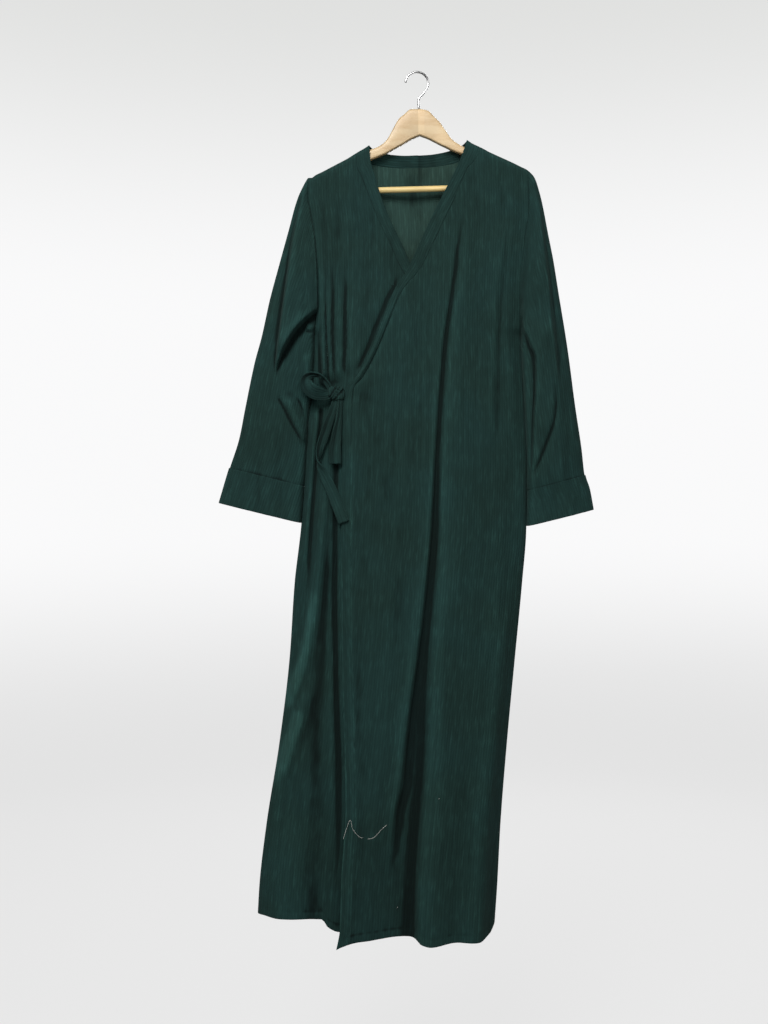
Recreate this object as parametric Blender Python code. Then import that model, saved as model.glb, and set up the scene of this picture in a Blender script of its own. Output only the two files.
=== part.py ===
"""A wrap abaya in bottle-green corduroy, hanging almost flat on a wooden hanger.

Frame: the origin is the inside top of the hook's bow, where a rail carries it. +X is to the
viewer's right, +Y goes back towards the wall and +Z is up. Left and right are the viewer's.
Sizes in this file are in millimetres, and they become metres when a mesh is made.
"""

import math

import bpy
import numpy as np

MM = 0.001
WALL = 2.0  # corduroy with its seam allowances
SEAM = 0.3  # clearance between pieces that are sewn together
EASE = 0.5  # clearance between the cloth and the hanger that carries it
LAYER = 4.2  # from the middle of the under front to the middle of the over front
TILT = math.radians(1.6)  # the hanger's right end rides higher

# The hanger
BAR_HEIGHT = -214.7
BAR_RADIUS = 5.5
BOSS_X = 186.0  # inner face of the end blocks that take the trouser bar
ARM_STRAIGHT = 196.0  # the arm's top runs straight to here, and is rounded off past it
ARM_HALF = 7.0  # half the arm's thickness
HOOK_WIRE = 2.0  # radius of the wire
HOOK_BOW = 21.0  # radius of the bow, to the middle of the wire
HOOK_SIDE = -2.0  # the bow's centre stands this far to the left of the rail's

# The cloth over it
NECK_X = 114.0  # where the neck seam meets the shoulder seam, from the middle
TIP_X = 203.0  # where the armhole meets the shoulder seam, from the middle
PEAK_X = 90.0  # the highest point of the neckband, from the middle
UNDERARM = -487.0
ARM_ROUND = ARM_HALF + EASE + WALL / 2 + 0.8  # radius of its bend over the arm, to its middle
NAPE_DEPTH, NAPE_SPREAD = 8.0, 55.0  # the back bulges behind the hanger, below the nape
SHOULDER_FADE = 30.0  # the drop over which the cloth comes to its full depth below the arm
HOLD = 30.0  # the strip beside a side seam where the folds die out
LENS_POWER = 3.2  # how flat the body's section is across its middle

# The rows of the body panels
LEVEL_TOP = -190.0
LEVEL_LOW = -1575.0
LEVEL_EVEN = -430.0  # rows follow the shoulder's slope down to here
LEVEL_HEM = -1380.0  # and the hem's line from here on
ROWS_SHOULDER = (0, 1.2, 4, 9, 17, 32, 55, 85, 120, 160, 200, 235, 262, 282)
ROWS_BELOW = 27
UNDERARM_ROW = len(ROWS_SHOULDER)
BAND_COLUMNS = 3  # across a front's band, with its two edges
BACK_OUT = (0.7, 0.84, 0.95, 1)  # the back's columns outside the neck, as shares of its half

# The sleeves and their turned cuffs
CUFF_STARTS = {"left": 9.0, "right": 8.0}  # the step where the turned cuff's upper edge lies
CUFF_RINGS = 4
CUFF_ROOM = 3.4  # how far the sleeve draws away from the body to make room for its cuff
INNER_LEAN = 2.2  # how far the sleeve stands off the side seam at the underarm
SLEEVE_BLEND = 2.2  # the steps over which it leaves the armhole's own section

# The tie
KNOT = {"z": -596.0, "wide": 30.0, "tall": 24.0, "deep": 16.0}
KNOT_RINGS, KNOT_SIDES = 8, 14
KNOT_SQUARE = 0.62  # 1 is an ellipsoid, and less is more of a block
TIE_THICK = 3.0
TIE_FRONT = 31.0  # how far forward the ties lie at the least, where they pass the sleeve


def table(columns, *rows):
    """A short table: its columns by name."""
    values = np.array(rows, float)
    return {name: values[:, i] for i, name in enumerate(columns.split())}


# The hanger's arm from its middle out: the height of its top and bottom, and how thick it is
ARM = table(
    "out top bottom thick",
    (0, -66.6, -116.0, 14),
    (15, -66.6, -122.0, 14),
    (28, -76.0, -129.0, 14),
    (37, -83.0, -134.0, 14),
    (47, -97.5, -139.0, 14),
    (62, -118.5, -147.0, 14),
    (86, -136.5, -156.5, 14),
    (114, -147.4, -168.0, 14),
    (138, -158.9, -179.0, 14),
    (160, -169.5, -189.0, 14),
    (BOSS_X, -182.0, -202.0, 14),
    (BOSS_X + 0.5, -182.2, -222.0, 14),
    (196, -186.8, -222.0, 14),
    (200, -190.5, -219.0, 12),
    (202, -197.0, -211.0, 9),
)

# The neckband's own crest over the hanger's arm
CREST = table("out rise", (PEAK_X, 7.0), (100, 4.2), (NECK_X, 2.2), (134, 0.2), (TIP_X, 0.0))

# The body by height: the two side edges, and how deep the front and the back stand
BODY = table(
    "height left right front back",
    (-130, -203, 203, 14, 14),
    (-195, -203, 203, 15, 15),
    (-231, -203, 204, 17, 16),
    (-266, -197, 202, 19, 17),
    (-309, -190, 196, 22, 18),
    (-360, -186, 190, 25, 20),
    (-420, -185, 187, 28, 23),
    (-487, -191, 189, 31, 25),
    (-559, -194, 193, 34, 27),
    (-633, -202, 197, 36, 29),
    (-734, -208, 201, 38, 31),
    (-840, -216, 200, 39, 32),
    (-944, -228, 192, 41, 34),
    (-1079, -237, 179, 44, 36),
    (-1238, -256, 164, 47, 39),
    (-1389, -280, 152, 50, 42),
    (-1502, -293, 146, 52, 44),
    (-1600, -298, 139, 54, 46),
)

# How much of that depth is left at the armhole's edge, down to nothing at the underarm
ARMHOLE = table(
    "height share",
    (-130, 0.80),
    (-231, 0.86),
    (-330, 0.82),
    (-400, 0.72),
    (-440, 0.56),
    (-470, 0.33),
    (UNDERARM, 0.0),
    (-1700, 0.0),
)

# The over front's free edge, from the neckband's crest past the tie to the hem
OVER_EDGE = table(
    "height across band",
    (-126, 90, 24),
    (-148, 83, 25),
    (-184, 68, 20),
    (-218, 51, 23),
    (-264, 28, 26),
    (-313, 5, 26),
    (-362, -17, 24),
    (-410, -46, 15),
    (-472, -69, 12),
    (-520, -88, 11),
    (-564, -112, 12),
    (-588, -133, 15),
    (-620, -138, 17),
    (-834, -141, 18),
    (-995, -140, 18),
    (-1153, -137, 18),
    (-1283, -133, 18),
    (-1347, -132, 18),
    (-1405, -135, 18),
    (-1478, -140, 18),
    (-1560, -142, 18),
    (-1600, -149, 18),
)

# The under front's free edge: the left side of the V, then hidden by the over front
UNDER_EDGE = table(
    "height across band",
    (-133, -90, 24),
    (-163, -88, 24),
    (-186, -82, 22),
    (-233, -68, 21),
    (-279, -50, 21),
    (-332, -25, 21),
    (-359, -14, 20),
    (-420, 18, 18),
    (-500, 62, 18),
    (-580, 98, 18),
    (-640, 108, 18),
    (-1100, 100, 18),
    (-1620, 84, 18),
)

# The hems across: the drop of each panel's lower edge
HEM_OVER = table(
    "across drop",
    (-152, -1599),
    (-139, -1592),
    (-117, -1587),
    (-83, -1583),
    (-28, -1577),
    (-6, -1578),
    (6, -1585),
    (22, -1589),
    (66, -1583),
    (110, -1588),
    (130, -1584),
    (142, -1568),
)
HEM_UNDER = table(
    "across drop",
    (-300, -1553),
    (-280, -1550),
    (-175, -1549),
    (-164, -1563),
    (-145, -1571),
    (100, -1572),
)
HEM_BACK = table("across drop", (-300, -1553), (-150, -1562), (0, -1566), (142, -1568))

# The neckband across the nape, from shoulder seam (-1) to shoulder seam (1): how far its upper
# edge and its seam drop below the cloth on the hanger's arm
NAPE = table(
    "turn top seam",
    (-1.0, 0, 0),
    (-0.95, 3, 5),
    (-0.88, 7, 11),
    (-0.75, 11, 18),
    (-0.5, 16, 24),
    (-0.2, 18, 26.5),
    (0.2, 18, 26.5),
    (0.5, 16, 24),
    (0.75, 11, 18),
    (0.88, 7, 11),
    (0.95, 3, 5),
    (1.0, 0, 0),
)

# Sleeves from the armhole to the cuff's hem: the outer edge, the height of the inner edge, how
# deep the front and the back stand, and which rings are covered by the turned cuff
SLEEVE_LEFT = table(
    "step outer_x outer_z inner_z front back",
    (0, -203, -195, -487, 20, 16),
    (0.4, -214, -207, -490, 21, 17),
    (1, -226, -234, -497, 24, 20),
    (2, -239, -294, -512, 27, 23),
    (3, -257, -360, -532, 29, 25),
    (4, -273, -420, -556, 30, 26),
    (5, -288, -488, -588, 30, 27),
    (6, -301, -536, -620, 29, 27),
    (7, -318, -618, -676, 28, 27),
    (8, -330, -678, -720, 27, 27),
    (9, -347, -731, -764, 27, 27),
    (10, -366, -796, -832, 30, 29),
)
SLEEVE_RIGHT = table(
    "step outer_x outer_z inner_z front back",
    (0, 203, -184, -487, 20, 16),
    (0.4, 214, -196, -491, 21, 17),
    (1, 226, -231, -499, 24, 20),
    (2, 240, -300, -516, 27, 23),
    (3, 250, -352, -533, 29, 25),
    (4, 258, -403, -553, 30, 26),
    (5, 276, -515, -606, 30, 27),
    (6, 289, -614, -662, 29, 27),
    (7, 301, -694, -728, 27, 27),
    (8, 307, -744, -772, 27, 27),
    (9, 315, -770, -796, 28, 28),
    (10, 322, -808, -838, 30, 29),
)


class Fold:
    """A ridge (or a trough, below zero) along a line down the cloth, with two unlike flanks.

    Flanks are how far it spreads to the left and right of a line that runs downwards. Heights
    are at its upper and lower end, and fades are the lengths over which it dies out there.
    """

    def __init__(self, name, flanks, heights, fades, line):
        self.name = name
        self.flanks = flanks
        self.heights = heights
        self.fades = fades
        self.line = smooth_line(np.array(line, float), 6)
        steps = np.linalg.norm(np.diff(self.line, axis=0), axis=1)
        self.run = np.concatenate([[0.0], np.cumsum(steps)])

    def rise(self, x, z):
        """How far this fold lifts the cloth at each place."""
        places = np.stack([x, z], axis=-1)
        nearest = np.full(x.shape, np.inf)
        side = np.zeros(x.shape)
        along = np.zeros(x.shape)
        for i, (a, b) in enumerate(zip(self.line[:-1], self.line[1:])):
            run = b - a
            length = np.linalg.norm(run)
            run = run / length
            t = np.clip((places - a) @ run, 0, length)
            off = places - (a + t[..., None] * run)
            distance = np.linalg.norm(off, axis=-1)
            closer = distance < nearest
            nearest = np.where(closer, distance, nearest)
            across = off[..., 0] * -run[1] + off[..., 1] * run[0]
            side = np.where(closer, np.sign(across), side)
            along = np.where(closer, self.run[i] + t, along)
        flank = np.where(side < 0, self.flanks[0], self.flanks[1])
        whole = self.run[-1]
        height = np.interp(along / whole, [0, 1], self.heights)
        fade = ease(along / self.fades[0]) * ease((whole - along) / self.fades[1])
        return height * fade * np.exp(-((nearest / flank) ** 2))


def ease(t):
    """Smooth step from 0 to 1."""
    t = np.clip(t, 0, 1)
    return t * t * (3 - 2 * t)


def smooth_line(points, between):
    """A Catmull-Rom curve through the points, with so many steps between two of them."""
    ends = np.concatenate([[2 * points[0] - points[1]], points, [2 * points[-1] - points[-2]]])
    steps = np.arange(between) / between
    line = []
    for a, b, c, d in zip(ends[:-3], ends[1:-2], ends[2:-1], ends[3:]):
        for t in steps:
            line.append(
                0.5 * (2 * b + (c - a) * t + (2 * a - 5 * b + 4 * c - d) * t * t
                       + (3 * b - a - 3 * c + d) * t ** 3)
            )
    line.append(points[-1])
    return np.array(line)


def read(rows, column, at, by="height"):
    """A column read at other places, along a curve that keeps between its neighbouring rows."""
    xs, ys = rows[by], rows[column]
    if xs[0] > xs[-1]:
        xs, ys = xs[::-1], ys[::-1]
    gaps = np.diff(xs)
    slopes = np.diff(ys) / gaps
    tangents = np.zeros(len(xs))
    same = slopes[1:] * slopes[:-1] > 0
    mean = np.zeros(len(slopes) - 1)
    mean[same] = 2 * slopes[1:][same] * slopes[:-1][same] / (slopes[1:] + slopes[:-1])[same]
    tangents[1:-1] = mean
    tangents[0], tangents[-1] = slopes[0], slopes[-1]
    at = np.clip(np.asarray(at, float), xs[0], xs[-1])
    i = np.clip(np.searchsorted(xs, at, side="right") - 1, 0, len(gaps) - 1)
    h = gaps[i]
    t = (at - xs[i]) / h
    return (
        (2 * t ** 3 - 3 * t ** 2 + 1) * ys[i]
        + (t ** 3 - 2 * t ** 2 + t) * h * tangents[i]
        + (3 * t ** 2 - 2 * t ** 3) * ys[i + 1]
        + (t ** 3 - t ** 2) * h * tangents[i + 1]
    )


FOLDS_OVER = [
    Fold("proud right part", (8, 70), (5, 30), (60, 1),
         [(88, -230), (71, -317), (58, -412), (44, -520), (34, -688), (33, -863), (21, -1082),
          (11, -1259), (3, -1367), (-3, -1477), (-4, -1620)]),
    Fold("roll left of the crease", (45, 26), (2, 9), (200, 1),
         [(30, -560), (-6, -760), (-14, -900), (-40, -1100), (-62, -1300), (-84, -1620)]),
    Fold("trough in the proud part", (16, 16), (-3, -6), (120, 200),
         [(70, -650), (61, -868), (50, -1017), (51, -1200), (56, -1400)]),
    Fold("roll by the right side", (32, 24), (2, 24), (250, 1),
         [(158, -760), (150, -950), (132, -1200), (112, -1420), (106, -1620)]),
    Fold("crease under the right shoulder", (12, 9), (-3, -3), (60, 120),
         [(172, -238), (165, -300), (152, -425), (144, -568), (139, -736)]),
    Fold("free edge curling out", (24, 22), (2, 14), (300, 1),
         [(-128, -1000), (-128, -1250), (-132, -1450), (-146, -1620)]),
]
FOLDS_UNDER = [
    Fold("ridge down the left side", (15, 15), (7, 6), (90, 140),
         [(-160, -700), (-171, -799), (-181, -931), (-192, -1007), (-215, -1113), (-233, -1252),
          (-256, -1350)]),
    Fold("trough beside the over front", (16, 14), (-4, -7), (80, 1),
         [(-162, -860), (-162, -1001), (-181, -1122), (-195, -1216), (-200, -1400),
          (-196, -1600)]),
    Fold("left corner roll", (30, 30), (4, 12), (120, 1),
         [(-235, -1330), (-246, -1450), (-252, -1600)]),
    Fold("gather above the tie", (7, 9), (5, 5), (90, 60),
         [(-170, -300), (-176, -430), (-172, -560)]),
]
FOLDS_SLEEVE = {
    "left": [
        Fold("overhang", (60, 8), (13, 15), (15, 20),
             [(-190, -447), (-213, -472), (-239, -519), (-260, -566)]),
        Fold("front ridge", (16, 16), (4, 6), (60, 60),
             [(-214, -243), (-234, -342), (-252, -445), (-262, -545)]),
        Fold("turned fold", (12, 12), (6, 6), (25, 25),
             [(-246, -596), (-224, -642), (-205, -690)]),
    ],
    "right": [
        Fold("front crease", (9, 16), (-4, -5), (60, 60),
             [(220, -230), (226, -311), (242, -470), (252, -558), (247, -647), (218, -726)]),
        Fold("inner fold edge", (6, 30), (6, 6), (40, 80),
             [(217, -520), (214, -588), (211, -632), (208, -713), (206, -790)]),
    ],
}


def tilted(x, z):
    """A place on the hanger, turned with it about the hook."""
    return x * math.cos(TILT) - z * math.sin(TILT), z * math.cos(TILT) + x * math.sin(TILT)


def shoulder(x):
    """The height of the middle of the cloth where it lies along the top of the hanger's arm."""
    x = np.sign(x) * np.clip(np.abs(x), PEAK_X, TIP_X)
    height = read(ARM, "top", np.abs(x), "out")
    for _ in range(3):
        along = x * math.cos(TILT) + height * math.sin(TILT)
        height = read(ARM, "top", np.minimum(np.abs(along), ARM_STRAIGHT), "out")
        height = height * math.cos(TILT) + along * math.sin(TILT)
    return height + EASE + WALL / 2 + read(CREST, "rise", np.abs(x), "out")


def over_the_arm(x, z):
    """From 0 on top of the hanger's arm to 1 once the cloth hangs down beside it."""
    drop = np.clip((shoulder(x) - z) / ARM_ROUND, 0, 1)
    return np.sqrt(1 - (1 - drop) ** 2)


def lens(x, z, share):
    """The body's section: 1 across the middle, falling to the share at the two side edges."""
    left, right = read(BODY, "left", z), read(BODY, "right", z)
    across = np.clip(np.abs((2 * x - left - right) / (right - left)), 0, 1)
    closed = np.sqrt(np.clip(1 - across ** LENS_POWER, 0, 1))
    return closed + (1 - closed) * share * across ** 6


def stand(x, z, side):
    """How far the cloth stands from the hanger's plane, before folds; side is front or back."""
    share = read(ARMHOLE, "share", z)
    full = read(BODY, side, z) * lens(x, z, share)
    bulge = NAPE_DEPTH * np.exp(-((x / NAPE_SPREAD) ** 2)) * ease((z + 300) / 120)
    neck = bulge if side == "back" else 0
    below = 1 - np.exp(-np.clip(shoulder(x) - z, 0, None) / SHOULDER_FADE)
    return ARM_ROUND * over_the_arm(x, z) * np.minimum(1, full / ARM_ROUND) + (
        np.clip(full - ARM_ROUND, 0, None) + neck
    ) * below


def under_depth(x, z):
    """Y of the under front's middle: folds only where the over front doesn't lie on it."""
    shown = ease((read(OVER_EDGE, "across", z) - x - 4) / 16)
    folds = sum(fold.rise(x, z) for fold in FOLDS_UNDER) * side_hold(x, z)
    return -stand(x, z, "front") - folds * shown


def over_depth(x, z):
    """Y of the over front's middle: one layer proud of the under front, and folded more."""
    folds = sum(fold.rise(x, z) for fold in FOLDS_OVER)
    hold = side_hold(x, z)
    return -stand(x, z, "front") - (LAYER + np.clip(folds, -1, None)) * hold


def back_depth(x, z):
    return stand(x, z, "back")


def side_hold(x, z):
    """0 at the side seams, where front and back are sewn together, and 1 away from them."""
    left, right = read(BODY, "left", z), read(BODY, "right", z)
    return ease((x - left) / HOLD) * ease((right - x) / HOLD)


def levels():
    """Heights of the rows of the body panels: close over the shoulder, then even to the hem,
    with one more at the tie."""
    top = LEVEL_TOP - np.array(ROWS_SHOULDER, float)
    below = np.append(np.linspace(UNDERARM, LEVEL_LOW, ROWS_BELOW), KNOT["z"])
    return np.concatenate([top, np.sort(below)[::-1]])


def panel(left_edge, right_edge, crest, hem, shares, depth):
    """Points of a body panel, as rows from the shoulder seam to the hem.

    left_edge and right_edge give X by height, crest and hem the heights of the upper and lower
    edge by X, shares the columns' places between the edges, and depth gives Y.
    """
    grid = []
    for level in levels():
        to_shoulder = ease((level - LEVEL_EVEN) / (LEVEL_TOP - LEVEL_EVEN))
        to_hem = ease((LEVEL_HEM - level) / (LEVEL_HEM - LEVEL_LOW))

        def height(x):
            top = (crest(x) - LEVEL_TOP) * to_shoulder
            low = (read(hem, "drop", x, "across") - LEVEL_LOW) * to_hem
            return level + top + low

        x0, x1 = left_edge(level), right_edge(level)
        for _ in range(8):
            x0, x1 = left_edge(height(x0)), right_edge(height(x1))
        x = shares(height, x0, x1)
        z = height(x)
        grid.append(np.stack([x, depth(x, z), z], axis=-1))
    return np.array(grid)


def unit(v):
    return v / np.maximum(np.linalg.norm(v, axis=-1, keepdims=True), 1e-9)


def grid_normals(grid, ring):
    """Outward directions at a grid's points; with ring, its columns close on themselves."""
    if ring:
        across = np.roll(grid, -1, axis=1) - np.roll(grid, 1, axis=1)
    else:
        across = np.gradient(grid, axis=1)
    return unit(np.cross(np.gradient(grid, axis=0), across))


def wall_mesh(name, grid, normal, stuff, ring=False, thick=WALL, half=0):
    """A closed wall of even thickness with the grid's surface in its middle.

    half is -1 for a front and 1 for a back, whose wall stops half a seam from the plane where
    the two are sewn together.
    """
    rows, columns = grid.shape[:2]
    outer, inner = grid + normal * thick / 2, grid - normal * thick / 2
    points = np.concatenate([outer.reshape(-1, 3), inner.reshape(-1, 3)])
    if half:
        points[:, 1] = half * np.maximum(half * points[:, 1], SEAM / 2)
    far = rows * columns
    faces = []

    def at(r, c):
        return r * columns + c % columns

    for r in range(rows - 1):
        for c in range(columns if ring else columns - 1):
            quad = [at(r, c), at(r + 1, c), at(r + 1, c + 1), at(r, c + 1)]
            faces.append(quad)
            faces.append([far + i for i in reversed(quad)])
    rims = [[at(0, c) for c in range(columns)], [at(rows - 1, c) for c in range(columns)][::-1]]
    if ring:
        for rim in rims:
            for a, b in zip(rim, rim[1:] + rim[:1]):
                faces.append([a, b, far + b, far + a])
    else:
        edge = rims[0] + [at(r, columns - 1) for r in range(1, rows)]
        edge += rims[1][1:] + [at(r, 0) for r in range(rows - 2, 0, -1)]
        for a, b in zip(edge, edge[1:] + edge[:1]):
            faces.append([a, b, far + b, far + a])
    solid(name, points, faces, stuff)


def solid(name, points, faces, stuff):
    """An object from points in millimetres, turned outwards if its faces point in."""
    mesh = bpy.data.meshes.new(name)
    mesh.from_pydata([tuple(p) for p in np.asarray(points) * MM], [], [list(f) for f in faces])
    mesh.calc_loop_triangles()
    corners = np.array([[mesh.vertices[i].co for i in t.vertices] for t in mesh.loop_triangles])
    if np.linalg.det(corners).sum() < 0:
        mesh.flip_normals()
    mesh.shade_smooth()
    mesh.set_sharp_from_angle(angle=math.radians(40))
    mesh.materials.append(stuff)
    bpy.context.scene.collection.objects.link(bpy.data.objects.new(name, mesh))


def material(name, colour, roughness, metallic=0.0):
    made = bpy.data.materials.new(name)
    made.use_nodes = True
    shader = made.node_tree.nodes["Principled BSDF"]
    shader.inputs["Base Color"].default_value = (*colour, 1)
    shader.inputs["Roughness"].default_value = roughness
    shader.inputs["Metallic"].default_value = metallic
    return made


def over_shares(height, x0, x1):
    """Columns of the over front: its band, then the panel, close along the main crease."""
    seam = x0 + float(read(OVER_EDGE, "band", height(x0)))
    band = [x0, x0 + (seam - x0) * 0.5, seam - SEAM / 2]
    ridge = FOLDS_OVER[0].line
    crest = np.interp(-height(x0), -ridge[:, 1], ridge[:, 0])
    crest = np.clip(crest, seam + 0.3 * (x1 - seam), seam + 0.7 * (x1 - seam))
    near = min(1.0, (x1 - seam) / 180)
    left = seam + (crest - 26 * near - seam) * np.array([0.28, 0.54, 0.78])
    middle = crest + near * np.array([-26, -13, -6, 0, 8, 22])
    start = middle[-1]
    right = start + (x1 - start) * np.array([0.22, 0.44, 0.64, 0.8, 0.92, 1])
    return np.concatenate([band, [seam + SEAM / 2], left, middle, right])


def under_shares(height, x0, x1):
    """Columns of the under front, close where it shows and wide where it is covered, then its
    band."""
    seam = x1 - float(read(UNDER_EDGE, "band", height(x1)))
    cover = float(read(OVER_EDGE, "across", height(x0)))
    cover = np.clip(cover, x0 + 0.25 * (seam - x0), x0 + 0.82 * (seam - x0))
    seen = x0 + (cover - x0) * np.array([0, 0.07, 0.18, 0.32, 0.47, 0.62, 0.78, 1])
    hidden = cover + (seam - cover) * 0.5
    return np.concatenate([seen, [hidden, seam - SEAM / 2, seam + SEAM / 2, (seam + x1) / 2, x1]])


def back_shares(height, x0, x1):
    """Columns of the back: those of the nape's band, and a few more out to each armhole."""
    out = np.array(BACK_OUT)
    shares = np.concatenate([-out[::-1], NAPE["turn"] * NECK_X / TIP_X, out])
    return (x0 + x1) / 2 + (x1 - x0) / 2 * shares


def fronts(cloth):
    """Both fronts with their bands, each cut from one surface. Gives their armhole edges."""
    edges = {}
    for side, rows, shares, depth, hem in (
        ("left", UNDER_EDGE, under_shares, under_depth, HEM_UNDER),
        ("right", OVER_EDGE, over_shares, over_depth, HEM_OVER),
    ):
        def free(z):
            return read(rows, "across", z)

        def sewn(z):
            return read(BODY, side, z)

        left, right = (sewn, free) if side == "left" else (free, sewn)
        grid = panel(left, right, shoulder, hem, shares, depth)
        normal = grid_normals(grid, False)
        name = "under" if side == "left" else "over"
        if side == "left":
            cut, band = slice(None, -BAND_COLUMNS), slice(-BAND_COLUMNS, None)
        else:
            cut, band = slice(BAND_COLUMNS, None), slice(None, BAND_COLUMNS)
        wall_mesh("front_" + name, grid[:, cut], normal[:, cut], cloth, half=-1)
        wall_mesh("neckband_" + name, grid[:, band], normal[:, band], cloth, half=-1)
        column = 0 if side == "left" else -1
        edges[side] = grid[:, column], normal[:, column]
    return edges


def nape(turn, reach, column):
    """Height of an edge of the nape's band that runs between two points of the shoulders."""
    ends = shoulder(np.array([-reach, reach]))
    share = (np.clip(turn, -1, 1) + 1) / 2
    return ends[0] + (ends[1] - ends[0]) * share - read(NAPE, column, turn, "turn")


def nape_seam(x):
    """Height of the back's upper edge: the neck seam, and the shoulder seam past it."""
    return np.where(np.abs(x) < NECK_X + 0.1, nape(x / NECK_X, NECK_X, "seam") - SEAM, shoulder(x))


def back(cloth, nape_out):
    """The back, with a scooped neck. Gives its two armhole edges."""
    grid = panel(
        lambda z: read(BODY, "left", z),
        lambda z: read(BODY, "right", z),
        nape_seam, HEM_BACK, back_shares, back_depth,
    )
    normal = -grid_normals(grid, False)
    normal[0, len(BACK_OUT):-len(BACK_OUT)] = nape_out
    wall_mesh("back", grid, normal, cloth, half=1)
    return {"left": (grid[:, 0], normal[:, 0]), "right": (grid[:, -1], normal[:, -1])}


def neckband_back(cloth):
    """The band across the nape, from one shoulder seam to the other behind the hanger. Gives the
    directions along its seam."""
    turn = NAPE["turn"]
    grid = []
    for down in (0, 0.5, 1):
        x = turn * (PEAK_X + (NECK_X - PEAK_X) * down)
        top, seam = nape(turn, PEAK_X, "top"), nape(turn, NECK_X, "seam")
        z = np.minimum(top + (seam - top) * down, shoulder(x))
        grid.append(np.stack([x, back_depth(x, z), z], axis=-1))
    grid = np.array(grid)
    normal = -grid_normals(grid, False)
    wall_mesh("neckband_back", grid, normal, cloth, half=1)
    return normal[-1]


def ring_angles(front):
    """Angles round the sleeve for the rows of the body's armhole."""
    z = front[: UNDERARM_ROW + 1, 2]
    top, low = z[0], z[-1]
    half = np.arccos(np.clip((2 * z - top - low) / (top - low), -1, 1))
    return np.concatenate([half, 2 * math.pi - half[-2:0:-1]])


def armhole(front, rear):
    """Places and directions of the armhole's edge, down the front and up the back."""
    (front_at, front_out), (rear_at, rear_out) = front, rear
    at = np.concatenate([front_at[: UNDERARM_ROW + 1], rear_at[UNDERARM_ROW - 1:0:-1]])
    out = np.concatenate([front_out[: UNDERARM_ROW + 1], rear_out[UNDERARM_ROW - 1:0:-1]])
    for row in (0, UNDERARM_ROW):
        at[row] = (front_at[row] + rear_at[row]) / 2
        out[row] = unit(front_out[row] + rear_out[row])
    return at, out


def sleeve_ring(side, step, angle):
    """Places on a sleeve's middle surface by step along it and angle round it: from its outer
    edge (0) over the front (a quarter turn) to its inner edge (a half turn) and the back."""
    rows = SLEEVE_LEFT if side == "left" else SLEEVE_RIGHT
    sign = -1 if side == "left" else 1
    outer_x, outer_z = (read(rows, c, step, "step") for c in ("outer_x", "outer_z"))
    inner_z = read(rows, "inner_z", step, "step")
    beside = 2 * WALL + CUFF_ROOM * ease(step - CUFF_STARTS[side] + 1)
    inner_x = read(BODY, side, inner_z) + sign * beside
    front, rear = (read(rows, c, step, "step") for c in ("front", "back"))
    x = (outer_x + inner_x) / 2 + (outer_x - inner_x) / 2 * np.cos(angle)
    z = (outer_z + inner_z) / 2 + (outer_z - inner_z) / 2 * np.cos(angle)
    turn = np.sign(np.sin(angle)) * np.abs(np.sin(angle)) ** 0.7
    return np.stack([x, np.where(turn > 0, -front, -rear) * turn, z], axis=-1)


def sleeve_grid(side, steps, front, rear):
    """A sleeve's places and directions, from the armhole to its lower end."""
    sign = -1 if side == "left" else 1
    seam_at, seam_out = armhole(front, rear)
    low = ease((LEVEL_EVEN - seam_at[:, 2]) / (LEVEL_EVEN - UNDERARM))
    away = sign * (SEAM + INNER_LEAN * low)  # furthest at the underarm, where it turns down
    start = seam_at + np.stack([away, 0 * low, 0 * low], axis=-1)
    step, angle = np.meshgrid(steps, ring_angles(front[0]), indexing="ij")
    first = sleeve_ring(side, np.zeros_like(angle[0]), angle[0])
    grid = sleeve_ring(side, step, angle) + (start - first) * ease(1 - step / SLEEVE_BLEND)[..., None]
    facing = np.clip(np.sin(angle), 0, 1) ** 0.5
    lift = sum(fold.rise(grid[..., 0], grid[..., 2]) for fold in FOLDS_SLEEVE[side])
    grid[..., 1] -= lift * facing * ease(step / 1.2)
    normal = grid_normals(grid, True) * (-sign)
    normal[0] = unit(seam_out * (1 - low[:, None]) + normal[0] * low[:, None])
    return grid, normal


def sleeves(cloth, front_edges, back_edges):
    """Both sleeves, each with its turned cuff: its own rings, moved out by one wall."""
    for side in ("left", "right"):
        start = CUFF_STARTS[side]
        turned = np.linspace(start, SLEEVE_LEFT["step"][-1], CUFF_RINGS)
        steps = np.concatenate([[0, 0.3, 0.8], np.linspace(1.6, start - 0.5, 8), turned])
        grid, normal = sleeve_grid(side, steps, front_edges[side], back_edges[side])
        outward = normal[-CUFF_RINGS:]
        cuff = grid[-CUFF_RINGS:] + outward * (WALL + 2 * SEAM)
        wall_mesh("cuff_" + side, cuff, outward, cloth, ring=True)
        grid[-1] = grid[-2] + (grid[-1] - grid[-2]) * 0.75
        wall_mesh("sleeve_" + side, grid, normal, cloth, ring=True)


def cloth_front(x, z):
    """Y of the foremost cloth: the under front, and the over front from its free edge on."""
    under, over = under_depth(x, z), over_depth(x, z)
    return under + (over - under) * ease((x - read(OVER_EDGE, "across", z) + 14) / 10)


def ribbon(name, route, cloth):
    """A pressed tie along a route of (x, z, width, how far it stands off the cloth, twist)."""
    route = smooth_line(np.array(route, float), 3)
    x, z, width, off, twist = route.T
    behind = np.min([cloth_front(x + width * s, z) for s in (-0.6, -0.3, 0, 0.3, 0.6)], axis=0)
    behind = np.minimum(behind, -TIE_FRONT)
    middle = np.stack([x, behind - WALL / 2 - TIE_THICK / 2 - off, z], axis=-1)
    along = unit(np.gradient(middle, axis=0))
    side = unit(np.cross(along, (0, 1, 0)))
    facing = unit(np.cross(side, along))
    turn = np.radians(twist)[:, None]
    side = side * np.cos(turn) + facing * np.sin(turn)
    grid = np.stack([middle + side * width[:, None] * s for s in (-0.5, 0.0, 0.5)], axis=1)
    wall_mesh(name, grid, grid_normals(grid, False), cloth, thick=TIE_THICK)


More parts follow.
